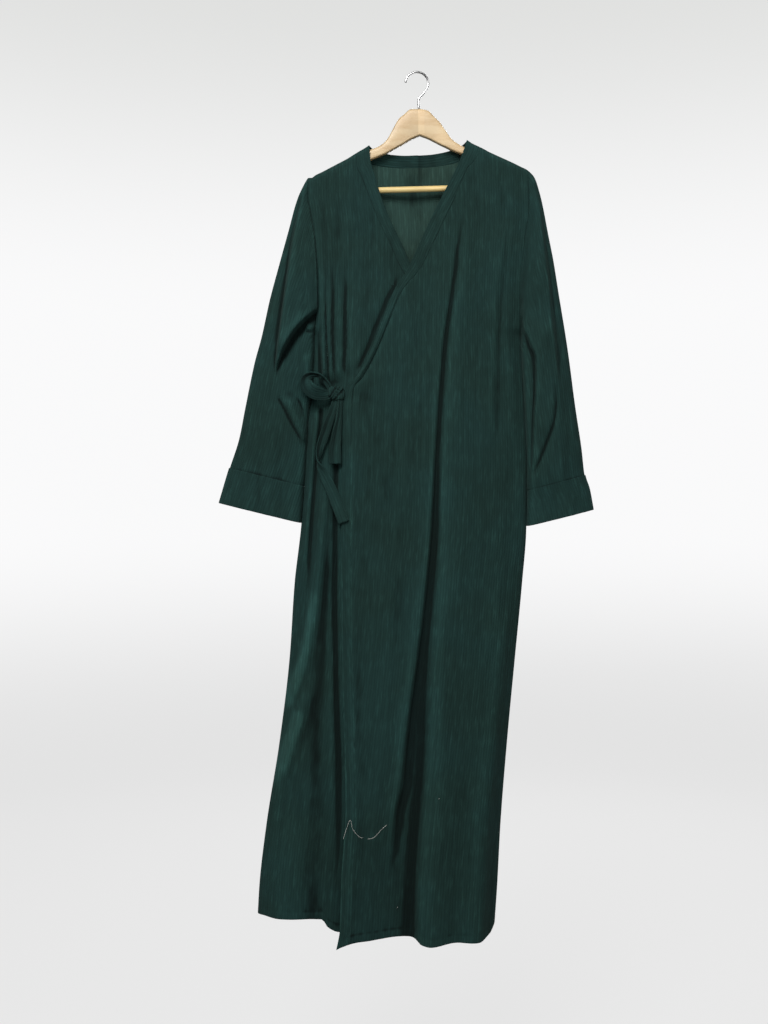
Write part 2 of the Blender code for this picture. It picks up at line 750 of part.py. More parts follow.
def knot(cloth):
    """The tie's knot: a rounded block whose end meets the over front's free edge."""
    size = np.array([KNOT["wide"], KNOT["deep"], KNOT["tall"]]) / 2
    points, faces = [], []
    for r in range(1, KNOT_RINGS):
        polar = math.pi * r / KNOT_RINGS
        for a in range(KNOT_SIDES):
            turn = 2 * math.pi * (a + 0.5) / KNOT_SIDES
            ring = math.sin(polar)
            v = np.array([ring * math.cos(turn), ring * math.sin(turn), math.cos(polar)])
            points.append(np.sign(v) * np.abs(v) ** KNOT_SQUARE * size)
    top, low = len(points), len(points) + 1
    points = np.array(points + [(0, 0, size[2]), (0, 0, -size[2])])
    for r in range(KNOT_RINGS - 2):
        for a in range(KNOT_SIDES):
            b = (a + 1) % KNOT_SIDES
            upper, lower = r * KNOT_SIDES, (r + 1) * KNOT_SIDES
            faces.append([upper + a, lower + a, lower + b, upper + b])
    last = (KNOT_RINGS - 2) * KNOT_SIDES
    faces += [[top, a, (a + 1) % KNOT_SIDES] for a in range(KNOT_SIDES)]
    faces += [[low, last + (a + 1) % KNOT_SIDES, last + a] for a in range(KNOT_SIDES)]
    height = points[:, 2] + KNOT["z"]
    centre_x = float(np.min(read(OVER_EDGE, "across", height) - points[:, 0])) + SEAM
    behind = float(np.min(under_depth(points[:, 0] + centre_x, height)))
    centre_y = behind - WALL / 2 - EASE - size[1]
    solid("tie_knot", points + [centre_x, centre_y, KNOT["z"]], faces, cloth)
    return centre_x


def tie(cloth):
    """The knot, the one loop and the two tails of the sewn ties."""
    centre_x = knot(cloth)
    under = KNOT["z"] - KNOT["tall"] / 2 - SEAM
    left = centre_x - KNOT["wide"] / 2 - 2.2
    ribbon("tie_tail_long", [
        (-157, under, 14, 3, 0), (-167, -650, 18, 4, 8), (-179, -690, 19, 4, 4),
        (-185, -718, 20, 3, 0), (-172, -752, 20, 1.5, -6), (-154, -796, 21, 3, -4),
        (-139, -833, 22, 2, 0)], cloth)
    ribbon("tie_tail_short", [
        (-142, under, 12, 1.5, 0), (-141, -650, 17, 2, -4), (-143, -690, 20, 2.5, 0),
        (-146, -731, 20, 1.5, 0)], cloth)
    ribbon("tie_loop", [
        (left, -592, 7, 6, 0), (-184, -583, 14, 10, 10), (-203, -570, 15, 9, 30),
        (-213, -566, 15, 5, 80), (-205, -573, 14, 1.5, 130), (-186, -586, 12, 0.8, 160),
        (left, -599, 7, 0.8, 180)], cloth)


def tube_faces(rings, sides):
    """The faces of a solid tube whose points come ring by ring, with its two caps."""
    faces = []
    for r in range(rings - 1):
        for k in range(sides):
            n = (k + 1) % sides
            faces.append([r * sides + k, r * sides + n, (r + 1) * sides + n, (r + 1) * sides + k])
    faces.append(list(reversed(range(sides))))
    faces.append([(rings - 1) * sides + k for k in range(sides)])
    return faces


def hanger_arms(wood):
    """The shaped wooden arms: upright sections with eased corners, from tip to tip."""
    rows = range(len(ARM["out"]))
    along = [(-1, i) for i in reversed(rows[1:])] + [(1, i) for i in rows]
    points, faces = [], []
    for sign, i in along:
        top, bottom, thick = ARM["top"][i], ARM["bottom"][i], ARM["thick"][i]
        half, crown, corner = thick / 2, 0.42 * min(thick, top - bottom), 0.2 * thick
        section = [(-half, bottom + corner)]
        for degrees in (-90, -54, -27, 0, 27, 54, 90):
            turn = math.radians(degrees)
            section.append((half * math.sin(turn), top - crown * (1 - math.cos(turn))))
        section += [(half, bottom + corner), (half - corner, bottom), (-half + corner, bottom)]
        for y, z in section:
            x, height = tilted(sign * ARM["out"][i], z)
            points.append((x, y, height))
    solid("hanger_arms", points, tube_faces(len(along), len(section)), wood)


def rod(name, line, radius, stuff, sides=12):
    """A round wire or dowel along a line of places."""
    line = np.array(line, float)
    along = unit(np.gradient(line, axis=0))
    forward = np.broadcast_to((0.0, -1.0, 0.0), line.shape)
    side = unit(np.cross(along, forward))
    points = []
    for p, s, f in zip(line, side, forward):
        for k in range(sides):
            turn = 2 * math.pi * k / sides
            points.append(p + radius * (math.cos(turn) * s + math.sin(turn) * f))
    solid(name, points, tube_faces(len(line), sides), stuff)


def hanger_bar(wood):
    reach = BOSS_X - SEAM
    ends = [tilted(x, BAR_HEIGHT) for x in (-reach, reach)]
    rod("hanger_bar", [(x, 0, z) for x, z in ends], BAR_RADIUS, wood)


def hook_line():
    """The hook's wire: a bow over the rail, an easy bend back, and the stem into the wood."""
    centre_x, centre_z = HOOK_SIDE, -(HOOK_BOW - HOOK_WIRE)
    line = []
    for degrees in np.linspace(174, -40, 17):
        turn = math.radians(degrees)
        line.append((centre_x + HOOK_BOW * math.cos(turn), centre_z + HOOK_BOW * math.sin(turn)))
    line += [(8.5, -39.5), (3.2, -44.5), (0.9, -50.5), (0.9, -58.0)]
    places = [(x, 0.0, z) for x, z in line]
    foot = tilted(0.0, float(ARM["top"][0]) + SEAM)
    return places + [(foot[0], 0.0, foot[1])]


def main():
    for obj in list(bpy.data.objects):
        bpy.data.objects.remove(obj, do_unlink=True)
    cloth = material("corduroy", (0.014, 0.034, 0.031), 0.95)
    wood = material("beech", (0.76, 0.58, 0.38), 0.45)
    chrome = material("chrome", (0.72, 0.72, 0.72), 0.15, 1.0)
    hanger_arms(wood)
    hanger_bar(wood)
    rod("hanger_hook", hook_line(), HOOK_WIRE, chrome)
    back_edges = back(cloth, neckband_back(cloth))
    front_edges = fronts(cloth)
    sleeves(cloth, front_edges, back_edges)
    tie(cloth)


main()
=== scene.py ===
"""A wrap abaya in bottle-green corduroy on a wooden hanger, in a plain white studio.

The frame is the part's: the origin is the inside top of the hook's bow, +X is to the viewer's
right, +Y goes back and +Z is up. Sizes are in millimetres until a mesh is made. The cloth is a
thin shell on the form of the part's own solids, with more folds than they have.
"""

import math

import bpy
import numpy as np
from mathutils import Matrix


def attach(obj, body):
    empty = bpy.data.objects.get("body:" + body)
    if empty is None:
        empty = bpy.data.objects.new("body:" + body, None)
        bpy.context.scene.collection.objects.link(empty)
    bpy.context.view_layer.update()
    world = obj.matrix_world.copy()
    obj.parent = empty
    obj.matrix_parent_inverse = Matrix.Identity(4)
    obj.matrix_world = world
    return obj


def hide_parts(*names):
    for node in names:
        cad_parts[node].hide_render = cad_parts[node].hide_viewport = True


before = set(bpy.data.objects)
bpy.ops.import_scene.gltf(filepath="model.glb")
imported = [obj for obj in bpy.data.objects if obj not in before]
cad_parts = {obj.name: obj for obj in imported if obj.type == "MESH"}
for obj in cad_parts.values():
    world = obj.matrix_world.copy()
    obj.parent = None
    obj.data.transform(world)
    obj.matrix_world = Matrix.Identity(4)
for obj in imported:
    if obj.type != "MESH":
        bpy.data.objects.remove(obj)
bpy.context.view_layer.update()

MM = 0.001
CLOTH = 1.5  # the corduroy's own thickness
PITCH = 4.5  # from one wale to the next
WALE_WIDTH = 400.0  # where the body is this wide, its wales are just that far apart
CELL = 3.6  # the most that a cell of the cloth's mesh measures
LIPS = (0.5, 1.6)  # where a cut edge is rounded, in from the edge
EDGE_FULL = (0.35, 0.82)  # how full the cloth is at its edge, and one step in from it
SAME = 0.01  # columns closer than this are the two sides of a seam

WALL = 2.0  # corduroy with its seam allowances, as the solids have it
EASE = 0.5  # clearance between the cloth and the hanger that carries it
LAYER = 4.2  # from the middle of the under front to the middle of the over front
OVER_LOW = -2.2  # the folds press the over front no closer to the under front than this
TILT = math.radians(1.6)  # the hanger's right end rides higher

# The hanger
BAR_HEIGHT = -214.7
BAR_RADIUS = 5.5
BOSS_X = 186.0  # inner face of the end blocks that take the trouser bar
ARM_STRAIGHT = 200.0  # the arm's top runs straight to here, and is rounded off past it
ARM_HALF = 7.0  # half the arm's thickness
ARM_CROWN, ARM_CORNER = 0.42, 0.2  # its rounded top and its corners, as shares of its thickness
HOOK_WIRE = 2.0  # radius of the wire
HOOK_BOW = 21.0  # radius of the bow, to the middle of the wire
HOOK_SIDE = -2.0  # the bow's centre stands this far to the left of the rail's
ROD_BENDS = (1.45, 1.2, 0.85, 0.45)  # the angles of the rings that round off a rod's end
HOOK_STEM = ((8.5, -39.5), (3.2, -44.5), (0.9, -50.5), (0.9, -58.0))

# The cloth over it
NECK_X = 114.0  # where the neck seam meets the shoulder seam, from the middle
TIP_X = 203.0  # where the armhole meets the shoulder seam, from the middle
PEAK_X = 90.0  # the highest point of the neckband, from the middle
UNDERARM = -487.0
ARM_ROUND = ARM_HALF + EASE + WALL / 2 + 0.8  # radius of its bend over the arm, to its middle
NAPE_DEPTH, NAPE_SPREAD = 8.0, 55.0  # the back bulges behind the hanger, below the nape
NAPE_END, NAPE_FADE = -300.0, 120.0  # where that bulge has died out, and over what drop
NAPE_ROWS = (0, 0.03, 0.08, 0.2, 0.35, 0.5, 0.65, 0.8, 0.92, 0.97, 1)  # down the nape's band
SHOULDER_FADE = 30.0  # the drop over which the cloth comes to its full depth below the arm
HOLD = 30.0  # the strip beside a side seam where the folds die out
LENS_POWER = 3.2  # how flat the body's section is across its middle
EDGE_POWER = 6  # how near the side edges the armhole's share of the depth counts

# The rows of the body panels, and the drops of the first ones
LEVEL_TOP = -190.0
LEVEL_LOW = -1575.0
LEVEL_EVEN = -430.0  # rows follow the shoulder's slope down to here
LEVEL_HEM = -1380.0  # and the hem's line from here on
LEVEL_DROPS = (0, 0.5, 1.2, 2.2, 3.6, 5.4, 7.6, 10.2, 13)
BACK_OUT = (0.7, 0.84, 0.95, 1)  # the back's columns outside the neck, as shares of its half
# The fronts' columns: shares left and right of the main crease, places across it, and the shares
# of the under front that shows
OVER_LEFT, OVER_RIGHT = (0.28, 0.54, 0.78), (0.22, 0.44, 0.64, 0.8, 0.92, 1)
OVER_CREASE = (-26, -19, -14, -11, -8, -5.5, -3, 0, 3, 6, 9.5, 14, 22)
UNDER_SEEN = (0, 0.07, 0.18, 0.32, 0.47, 0.62, 0.78, 1)

# The seams and the hem
FADE = 60.0  # the drop over which slack, seams and pale edges fade in
HEM = 16.0  # the depth of the turned-up hem
HEM_PROUD, HEM_RISE = 0.55, 2.5  # how far it stands proud, and over what height it gets there
STITCH_IN = 1.5  # its stitches lie this far below its upper edge
STITCH_DEEP, STITCH_WIDE = 0.75, 1.3
PUCKER, PUCKER_WAVE = 0.35, 2.3  # how the stitches pull the cloth, and a wave's length over 2 pi
SEAM_SPREAD = 1.7  # how wide the ditch of the band's seam is
ARMHOLE_DITCH = 3.0  # how deep and wide the cloth sinks at the armhole's seam
ABOVE_TIE, PULL_FADE = -330.0, 120.0  # the tie pulls at the band's seam below this height
BELOW_TIE = -640.0  # the band's seam gets painted shade above this height and a painted highlight below it
SEAM_DARK, SEAM_PALE = 0.32, -2.0

# The sleeves and their turned cuffs
SIGN = {"left": -1, "right": 1}
CUFF_STARTS = {"left": 9.0, "right": 8.0}  # the step where the turned cuff's upper edge lies
CUFF_NEAR = 0.35  # the steps above it over which the sleeve makes room
CUFF_PROUD = 0.2  # how far the cuff stands off the sleeve, and again as much at its hem
BESIDE, CUFF_DRAW = 1.7, 1.8  # from the body's side edge to the sleeve, and more by the cuff
SLEEVE_SQUARE, INNER_SQUARE = 0.7, 0.32  # 1 is an ellipse; a box by so much more inside
INNER_LEAN = 1.0  # how far the sleeve stands off the side seam at the underarm
SLEEVE_BLEND = 2.2  # the steps over which it leaves the armhole's own section
SLEEVE_WAVES = 1.6  # a sleeve's unevenness is this much finer across than the body's
TUCK_IN, TUCK_BACK = 2.3, 7.0  # a sleeve's inner edge goes behind the body's side edge
STEP_LENGTH = 64  # about how long a step of a sleeve is

# The tie
KNOT = {"z": -596.0, "wide": 30.0, "tall": 27.0, "deep": 17.0}
KNOT_SQUARE = 0.62  # 1 is an ellipsoid, and less is more of a block
KNOT_IN = 14.6  # how far left of the over front's edge its middle lies
KNOT_MEAN = 13.0  # its mean radius, of which a groove takes a share
KNOT_DARK = 2.5  # a groove this deep gets painted shade as dark as the deepest creases
KNOT_RINGS, KNOT_SIDES = 40, 64
# The ribbon's turns in the knot: slope, shift, depth and width of each groove
KNOT_GROOVES = ((0.9, -8, 3.4, 1.7), (0.75, 1.5, 2.0, 1.3), (0.6, 8.5, 3.4, 1.6),
                (-1.6, -15, 2.2, 1.4))
TIE_FRONT = 31.0  # how far forward the ties lie at the least, where they pass the sleeve
# Across a ribbon: the places of its columns, and how full it is there
RIBBON_ACROSS = (-0.5, -0.485, -0.44, -0.34, -0.2, -0.07, 0.07, 0.2, 0.34, 0.44, 0.485, 0.5)
RIBBON_FULL = (0.3, 0.6, 0.95, 1, 1, 0.95, 0.95, 1, 1, 0.95, 0.6, 0.3)
# Each ribbon's thickness, and its route by (x, z, width, stand off the cloth, twist)
TIES = {
    "tie_tail_long": (3.0, [
        (-150, -606, 11, 2, -10), (-157, -631, 15.5, 4, -6), (-168, -662, 17, 4, 6),
        (-179, -694, 16, 5, 30), (-184, -716, 14, 6.5, 80), (-181, -729, 15, 7, 130),
        (-173, -742, 18.5, 5, 165), (-158, -774, 20.5, 3, 176), (-145, -807, 20.5, 3, 184),
        (-136, -831, 20, 2.5, 180)]),
    "tie_tail_short": (4.4, [
        (-142, -606, 9, 1, 10), (-145, -641, 12, 3, 24), (-149, -672, 18, 3.5, 8),
        (-151.5, -700, 21.5, 3, -4), (-151, -725, 21.5, 2, -6)]),
    "tie_loop": (3.0, [
        (-160, -590, 9, 2, 0), (-167, -577, 11, 3, 25), (-179, -563.5, 10, 3, 50),
        (-195, -562, 13, 6, 40), (-204.5, -571, 19, 10, 20), (-201, -585, 25, 13, -14),
        (-189, -594.5, 27, 13, -24), (-174, -599, 22, 8, -16), (-161, -599, 15, 3, 0)]),
}

# The loose thread and the lint, by x and z
LINT_HALF = 0.3  # half the thread's thickness
LINT = (
    ((-136, -1400), (-131, -1383), (-125, -1367), (-122, -1369), (-120, -1380), (-114, -1389),
     (-106, -1397), (-101, -1398)),
    ((-92, -1400), (-84, -1399), (-76, -1393), (-69, -1385), (-62, -1378), (-58, -1375)),
    ((35, -1326), (36, -1324)),
    ((-39, -1526), (-38, -1524)),
)

# The cloth's small waves (height, width and length), and its cloudy noise's lattice
SLACK = ((1.3, 34, 190), (0.6, 15, 70), (0.3, 9, 20))
SLACK_LEAN = 0.04  # the waves lean by this share of the drop
LATTICE = 97
# How often the cloth is averaged to find the hollows that get painted shade, and how deep they are
# when that shade is full
HOLLOWS = ((12, 1.8), (110, 8.5))
LEVEL = 10.0  # what the attribute of painted shade and highlight holds where the cloth lies neither high nor low
UNDER_SHADE = 0.2  # painted shade over the under front, which lies back under the over front
EDGE_PALE = 1.5  # painted highlight along the over front's low free edge and its stitch line
EDGE_PALE_BELOW = -860.0

# Base colours: the cloth's wales and grooves, the wood's light and dark grain, and the thread
PILE = (0.0124, 0.0372, 0.0328, 1), (0.0108, 0.0325, 0.0290, 1)
WRONG_SIDE = (0.026, 0.059, 0.048, 1), (0.0225, 0.051, 0.042, 1)
ARMS_WOOD = (0.70, 0.53, 0.31, 1), (0.56, 0.37, 0.18, 1)
BAR_WOOD = (0.90, 0.70, 0.30, 1), (0.70, 0.48, 0.18, 1)
THREAD = (0.62, 0.62, 0.58)

# The studio, in metres: its floor, its painted glow by height, and each lamp's place, aim, size,
# power
WORLD = 0.15
FLOOR = -2.0
ROOM_SIDES = 96
FLAT_RADIUS, BEND, ROOM_RADIUS = 3.4, 1.1, 4.5  # the flat floor, the bend beside it, the wall
WALL_TOP, DOME, ROOM_PEAK = 1.5, 2.2, 3.71
# The room's painted glow: dimmer on the floor, brighter on the wall, dimmer again in the dome
ROOM_LOW, ROOM_HIGH = (0.71, 0.71, 0.71, 1), (0.915, 0.915, 0.92, 1)
ROOM_TOP = (0.70, 0.705, 0.695, 1)
CAMERA = (-0.0629, -2.3, -0.812)
LENS = 43.7
LIGHTS = (
    ("key", (-0.8, -2.5, 1.3), (0.0, 0.0, -0.6), 1.5, 83),
    ("fill", (0.5, -2.8, -0.4), (0.0, 0.0, -0.7), 1.8, 18),
    ("rear", (0.6, 2.8, 0.8), (0.0, 0.0, -0.8), 2.0, 78),
)


def table(columns, *rows):
    """A short table: its columns by name."""
    values = np.array(rows, float)
    return {name: values[:, i] for i, name in enumerate(columns.split())}


# How far the crown's upper edge lies below the arm's plain outline, at each place across it
CROWN_DIP = table(
    "out dip",
    (-92, 0), (-64, 4.5), (-40, 0), (0, 0), (12, 2), (26, 5.5), (40, 8.5), (54, 9), (70, 7),
    (90, 4), (118, 0),
)
# The hanger's arm from its middle out: the height of its top and bottom, and how thick it is
ARM = table(
    "out top bottom thick",
    (0, -66.6, -116, 14), (15, -66.6, -122, 14), (28, -76, -129, 14), (37, -83, -134, 14),
    (47, -97.5, -139, 14), (62, -118.5, -147, 14), (86, -136.5, -156.5, 14),
    (114, -147.4, -168, 14), (138, -158.9, -179, 14), (160, -169.5, -189, 14),
    (BOSS_X, -182, -202, 14), (BOSS_X + 0.5, -182.2, -222, 14), (196, -186.8, -222, 14),
    (200, -190.5, -219, 12), (202, -197, -211, 9),
)
# The neckband's own crest over the hanger's arm
CREST = table("out rise", (PEAK_X, 7), (100, 4.2), (NECK_X, 2.2), (134, 0.2), (TIP_X, 0))
# The body by height: the two side edges, and how deep the front and the back stand
BODY = table(
    "height left right front back",
    (-130, -203, 203, 14, 14), (-195, -203, 203, 15, 15), (-231, -203, 204, 17, 16),
    (-266, -197, 202, 19, 17), (-309, -190, 196, 22, 18), (-360, -186, 190, 25, 20),
    (-420, -185, 187, 28, 23), (-487, -191, 189, 31, 25), (-559, -194, 193, 34, 27),
    (-633, -202, 197, 36, 29), (-734, -208, 201, 38, 31), (-840, -216, 200, 39, 32),
    (-944, -228, 192, 41, 34), (-1079, -237, 179, 44, 36), (-1238, -256, 164, 47, 39),
    (-1389, -280, 152, 50, 42), (-1502, -293, 146, 52, 44), (-1600, -298, 139, 54, 46),
)
# How much of that depth is left at the armhole's edge, down to nothing at the underarm
ARMHOLE = table(
    "height share",
    (-130, 0.8), (-231, 0.86), (-330, 0.82), (-400, 0.72), (-440, 0.56), (-470, 0.33),
    (UNDERARM, 0), (-1700, 0),
)
# The over front's free edge, from the neckband's crest past the tie to the hem
OVER_EDGE = table(
    "height across band",
    (-126, 90, 24), (-148, 83, 25), (-184, 68, 20), (-218, 51, 23), (-264, 28, 26), (-313, 5, 26),
    (-362, -17, 24), (-410, -46, 15), (-472, -69, 12), (-520, -88, 11), (-564, -112, 12),
    (-588, -133, 15), (-620, -138, 17), (-834, -141, 18), (-995, -140, 18), (-1153, -137, 18),
    (-1283, -133, 18), (-1347, -132, 18), (-1405, -135, 18), (-1478, -140, 18), (-1560, -142, 18),
    (-1600, -149, 18),
)
# The under front's free edge: the left side of the V, then hidden by the over front
UNDER_EDGE = table(
    "height across band",
    (-133, -90, 24), (-163, -88, 24), (-186, -82, 22), (-233, -68, 21), (-279, -50, 21),
    (-332, -25, 21), (-359, -14, 20), (-420, 18, 18), (-500, 62, 18), (-580, 98, 18),
    (-640, 108, 18), (-1100, 100, 18), (-1620, 84, 18),
)
# The hems across: the drop of each panel's lower edge
HEM_OVER = table(
    "across drop",
    (-152, -1599), (-139, -1592), (-117, -1587), (-83, -1583), (-28, -1577), (-6, -1578),
    (6, -1585), (22, -1589), (66, -1583), (110, -1588), (130, -1584), (142, -1568),
)
HEM_UNDER = table(
    "across drop",
    (-300, -1553), (-280, -1550), (-175, -1549), (-164, -1563), (-145, -1571), (100, -1572),
)
HEM_BACK = table("across drop", (-300, -1553), (-150, -1562), (0, -1566), (142, -1568))
# The neckband across the nape, from shoulder seam (-1) to shoulder seam (1): how far its upper
# edge and its seam drop below the cloth on the hanger's arm
NAPE = table(
    "turn top seam",
    (-1, 0, 0), (-0.95, 3, 5), (-0.88, 7, 11), (-0.75, 11, 18), (-0.5, 16, 24), (-0.2, 18, 26.5),
    (0.2, 18, 26.5), (0.5, 16, 24), (0.75, 11, 18), (0.88, 7, 11), (0.95, 3, 5), (1, 0, 0),
)
# Sleeves from the armhole to the cuff's hem: the outer edge, the height of the inner edge, and
# how deep the front and the back stand
SLEEVE_LEFT = table(
    "step outer_x outer_z inner_z front back",
    (0, -203, -195, -487, 20, 16), (0.4, -211, -209, -490, 21, 17), (1, -223, -236, -497, 24, 20),
    (2, -239, -294, -512, 27, 23), (3, -257, -360, -532, 29, 25), (4, -273, -420, -556, 30, 26),
    (5, -288, -488, -588, 30, 27), (6, -301, -536, -620, 29, 27), (7, -318, -618, -676, 28, 27),
    (8, -330, -678, -720, 27, 27), (9, -347, -731, -764, 27, 27), (10, -366, -796, -832, 30, 29),
)
SLEEVE_RIGHT = table(
    "step outer_x outer_z inner_z front back",
    (0, 203, -184, -487, 20, 16), (0.4, 214, -196, -491, 21, 17), (1, 226, -231, -499, 24, 20),
    (2, 240, -300, -516, 27, 23), (3, 250, -352, -533, 29, 25), (4, 258, -403, -553, 30, 26),
    (5, 276, -515, -606, 30, 27), (6, 289, -614, -662, 29, 27), (7, 301, -694, -728, 27, 27),
    (8, 307, -744, -772, 27, 27), (9, 315, -770, -796, 28, 28), (10, 322, -808, -838, 30, 29),
)
SLEEVES = {"left": SLEEVE_LEFT, "right": SLEEVE_RIGHT}


def ease(t):
    """Smooth step from 0 to 1."""
    t = np.clip(t, 0, 1)
    return t * t * (3 - 2 * t)


def bell(distance, spread):
    """1 at no distance, dying out over the spread."""
    return np.exp(-((distance / spread) ** 2))


def unit(v):
    return v / np.maximum(np.linalg.norm(v, axis=-1, keepdims=True), 1e-9)


def smooth_line(points, between):
    """A Catmull-Rom curve through the points, with so many steps between two of them."""
    points = np.array(points, float)
    ends = np.concatenate([[2 * points[0] - points[1]], points, [2 * points[-1] - points[-2]]])
    line = []
    for a, b, c, d in zip(ends[:-3], ends[1:-2], ends[2:-1], ends[3:]):
        for t in np.arange(between) / between:
            line.append(0.5 * (2 * b + (c - a) * t + (2 * a - 5 * b + 4 * c - d) * t * t
                               + (3 * b - a - 3 * c + d) * t ** 3))
    return np.array(line + [points[-1]])


def read(rows, column, at, by="height"):
    """A column read at other places, along a curve that keeps between its neighbouring rows."""
    xs, ys = rows[by], rows[column]
    if xs[0] > xs[-1]:
        xs, ys = xs[::-1], ys[::-1]
    gaps = np.diff(xs)
    slopes = np.diff(ys) / gaps
    tangents = np.zeros(len(xs))
    same = slopes[1:] * slopes[:-1] > 0
    mean = np.zeros(len(slopes) - 1)
    mean[same] = 2 * slopes[1:][same] * slopes[:-1][same] / (slopes[1:] + slopes[:-1])[same]
    tangents[1:-1] = mean
    tangents[0], tangents[-1] = slopes[0], slopes[-1]
    at = np.clip(np.asarray(at, float), xs[0], xs[-1])
    i = np.clip(np.searchsorted(xs, at, side="right") - 1, 0, len(gaps) - 1)
    h = gaps[i]
    t = (at - xs[i]) / h
    return ((2 * t ** 3 - 3 * t ** 2 + 1) * ys[i] + (t ** 3 - 2 * t ** 2 + t) * h * tangents[i]
            + (3 * t ** 2 - 2 * t ** 3) * ys[i + 1] + (t ** 3 - t ** 2) * h * tangents[i + 1])


class Line:
    """A smooth line down the cloth, through places given by x and z."""

    def __init__(self, places):
        self.places = smooth_line(places, 6)
        steps = np.linalg.norm(np.diff(self.places, axis=0), axis=1)
        self.run = np.concatenate([[0.0], np.cumsum(steps)])

    def reach(self, x, z):
        """Signed distance from the line, positive to its right as it runs down, and how far
        along it the nearest place is."""
        at = np.stack([x, z], axis=-1)
        nearest = np.full(np.shape(x), np.inf)
        side, along = np.zeros(np.shape(x)), np.zeros(np.shape(x))
        for start, a, b in zip(self.run, self.places[:-1], self.places[1:]):
            length = np.linalg.norm(b - a)
            run = (b - a) / length
            t = np.clip((at - a) @ run, 0, length)
            off = at - (a + t[..., None] * run)
            distance = np.linalg.norm(off, axis=-1)
            closer = distance < nearest
            nearest = np.where(closer, distance, nearest)
            across = off[..., 0] * -run[1] + off[..., 1] * run[0]
            side = np.where(closer, np.where(across < 0, -1, 1), side)
            along = np.where(closer, start + t, along)
        return nearest * side, along


class Fold(Line):
    """A ridge (or a trough, below zero) along a line down the cloth, with two unlike flanks.

    Flanks are how far it spreads to the left and right of a line that runs downwards. Heights
    are at its upper and lower end, and fades are the lengths over which it dies out there.
    """

    def __init__(self, flanks, heights, fades, places):
        super().__init__(places)
        self.flanks, self.heights, self.fades = flanks, heights, fades

    def rise(self, x, z):
        """How far this fold lifts the cloth at each place."""
        distance, along = self.reach(x, z)
        whole = self.run[-1]
        height = np.interp(along / whole, [0, 1], self.heights)
        fade = ease(along / self.fades[0]) * ease((whole - along) / self.fades[1])
        return height * fade * bell(distance, np.where(distance < 0, *self.flanks))


FOLDS_OVER = {
    "proud right part": Fold((10, 70), (3, 30), (110, 1), [
        (99, -230), (86, -317), (72, -412), (58, -520), (47, -688), (45, -863), (35, -1000),
        (29, -1082), (21, -1259), (12, -1367), (5, -1477), (2, -1620)]),
    "roll over the crease": Fold((38, 6), (2, 18), (130, 220), [
        (79, -240), (66, -317), (53, -412), (38, -520), (26, -688), (16, -863), (3, -992),
        (-9, -1084), (-22, -1173), (-30, -1243), (-36, -1304), (-46, -1347), (-53, -1403),
        (-63, -1480)]),
    "crease itself": Fold((4, 7), (-1, -12), (130, 240), [
        (88, -240), (75, -317), (62, -412), (47, -520), (35, -688), (25, -863), (13, -992),
        (1, -1084), (-11, -1173), (-18, -1243), (-23, -1304), (-32, -1347), (-39, -1403),
        (-49, -1480)]),
    "roll left of the crease": Fold((45, 30), (1, 7), (200, 1), [
        (10, -560), (-26, -760), (-44, -900), (-70, -1100), (-88, -1300), (-100, -1620)]),
    "trough in the proud part": Fold((20, 24), (-1, -2), (260, 200), [
        (72, -650), (64, -868), (53, -1017), (54, -1200), (58, -1400)]),
    "roll by the right side": Fold((50, 24), (2, 23), (250, 1), [
        (158, -760), (150, -950), (132, -1200), (112, -1420), (106, -1620)]),
    "roll beside the right crease": Fold((26, 6), (2.4, 2.6), (110, 120), [
        (163, -238), (156, -300), (143, -425), (135, -568), (131, -680), (130, -740)]),
    "right crease": Fold((6, 8), (-0.8, -1.5), (150, 140), [
        (171, -238), (164, -300), (151, -425), (143, -568), (139, -680), (138, -740)]),
    "free edge curling out": Fold((24, 22), (2, 14), (300, 1), [
        (-128, -1000), (-128, -1250), (-132, -1450), (-146, -1620)]),
    "shade below the neck": Fold((22, 30), (-1.5, -2.5), (60, 120), [
        (118, -230), (112, -330), (104, -460), (98, -600)]),
    "pull from the tie, upper": Fold((9, 12), (1.4, 0.1), (8, 90), [
        (-124, -588), (-92, -570), (-48, -556), (10, -560)]),
    "pull from the tie, middle": Fold((9, 11), (-1, -0.1), (8, 60), [
        (-126, -600), (-96, -604), (-60, -622), (-30, -650)]),
    "pull from the tie, lower": Fold((9, 10), (1.2, 0.1), (8, 100), [
        (-128, -612), (-108, -640), (-92, -690), (-84, -760)]),
    "fold along the band's seam": Fold((3, 3.5), (-0.6, -2), (60, 20), [
        (-31, -410), (-54, -466), (-77, -520), (-100, -562), (-116, -582)]),
    "roll of the band beside it": Fold((5, 5), (3, 5), (60, 20), [
        (-40, -410), (-62, -466), (-84, -520), (-107, -562), (-122, -580)]),
    "small ridge in the proud part": Fold((22, 24), (0.8, 1.2), (160, 160), [
        (92, -980), (84, -1150), (78, -1330), (76, -1500)]),
    "right edge ripple": Fold((10, 12), (-1.5, -3), (80, 120), [
        (168, -640), (166, -800), (156, -960), (144, -1100)]),
}
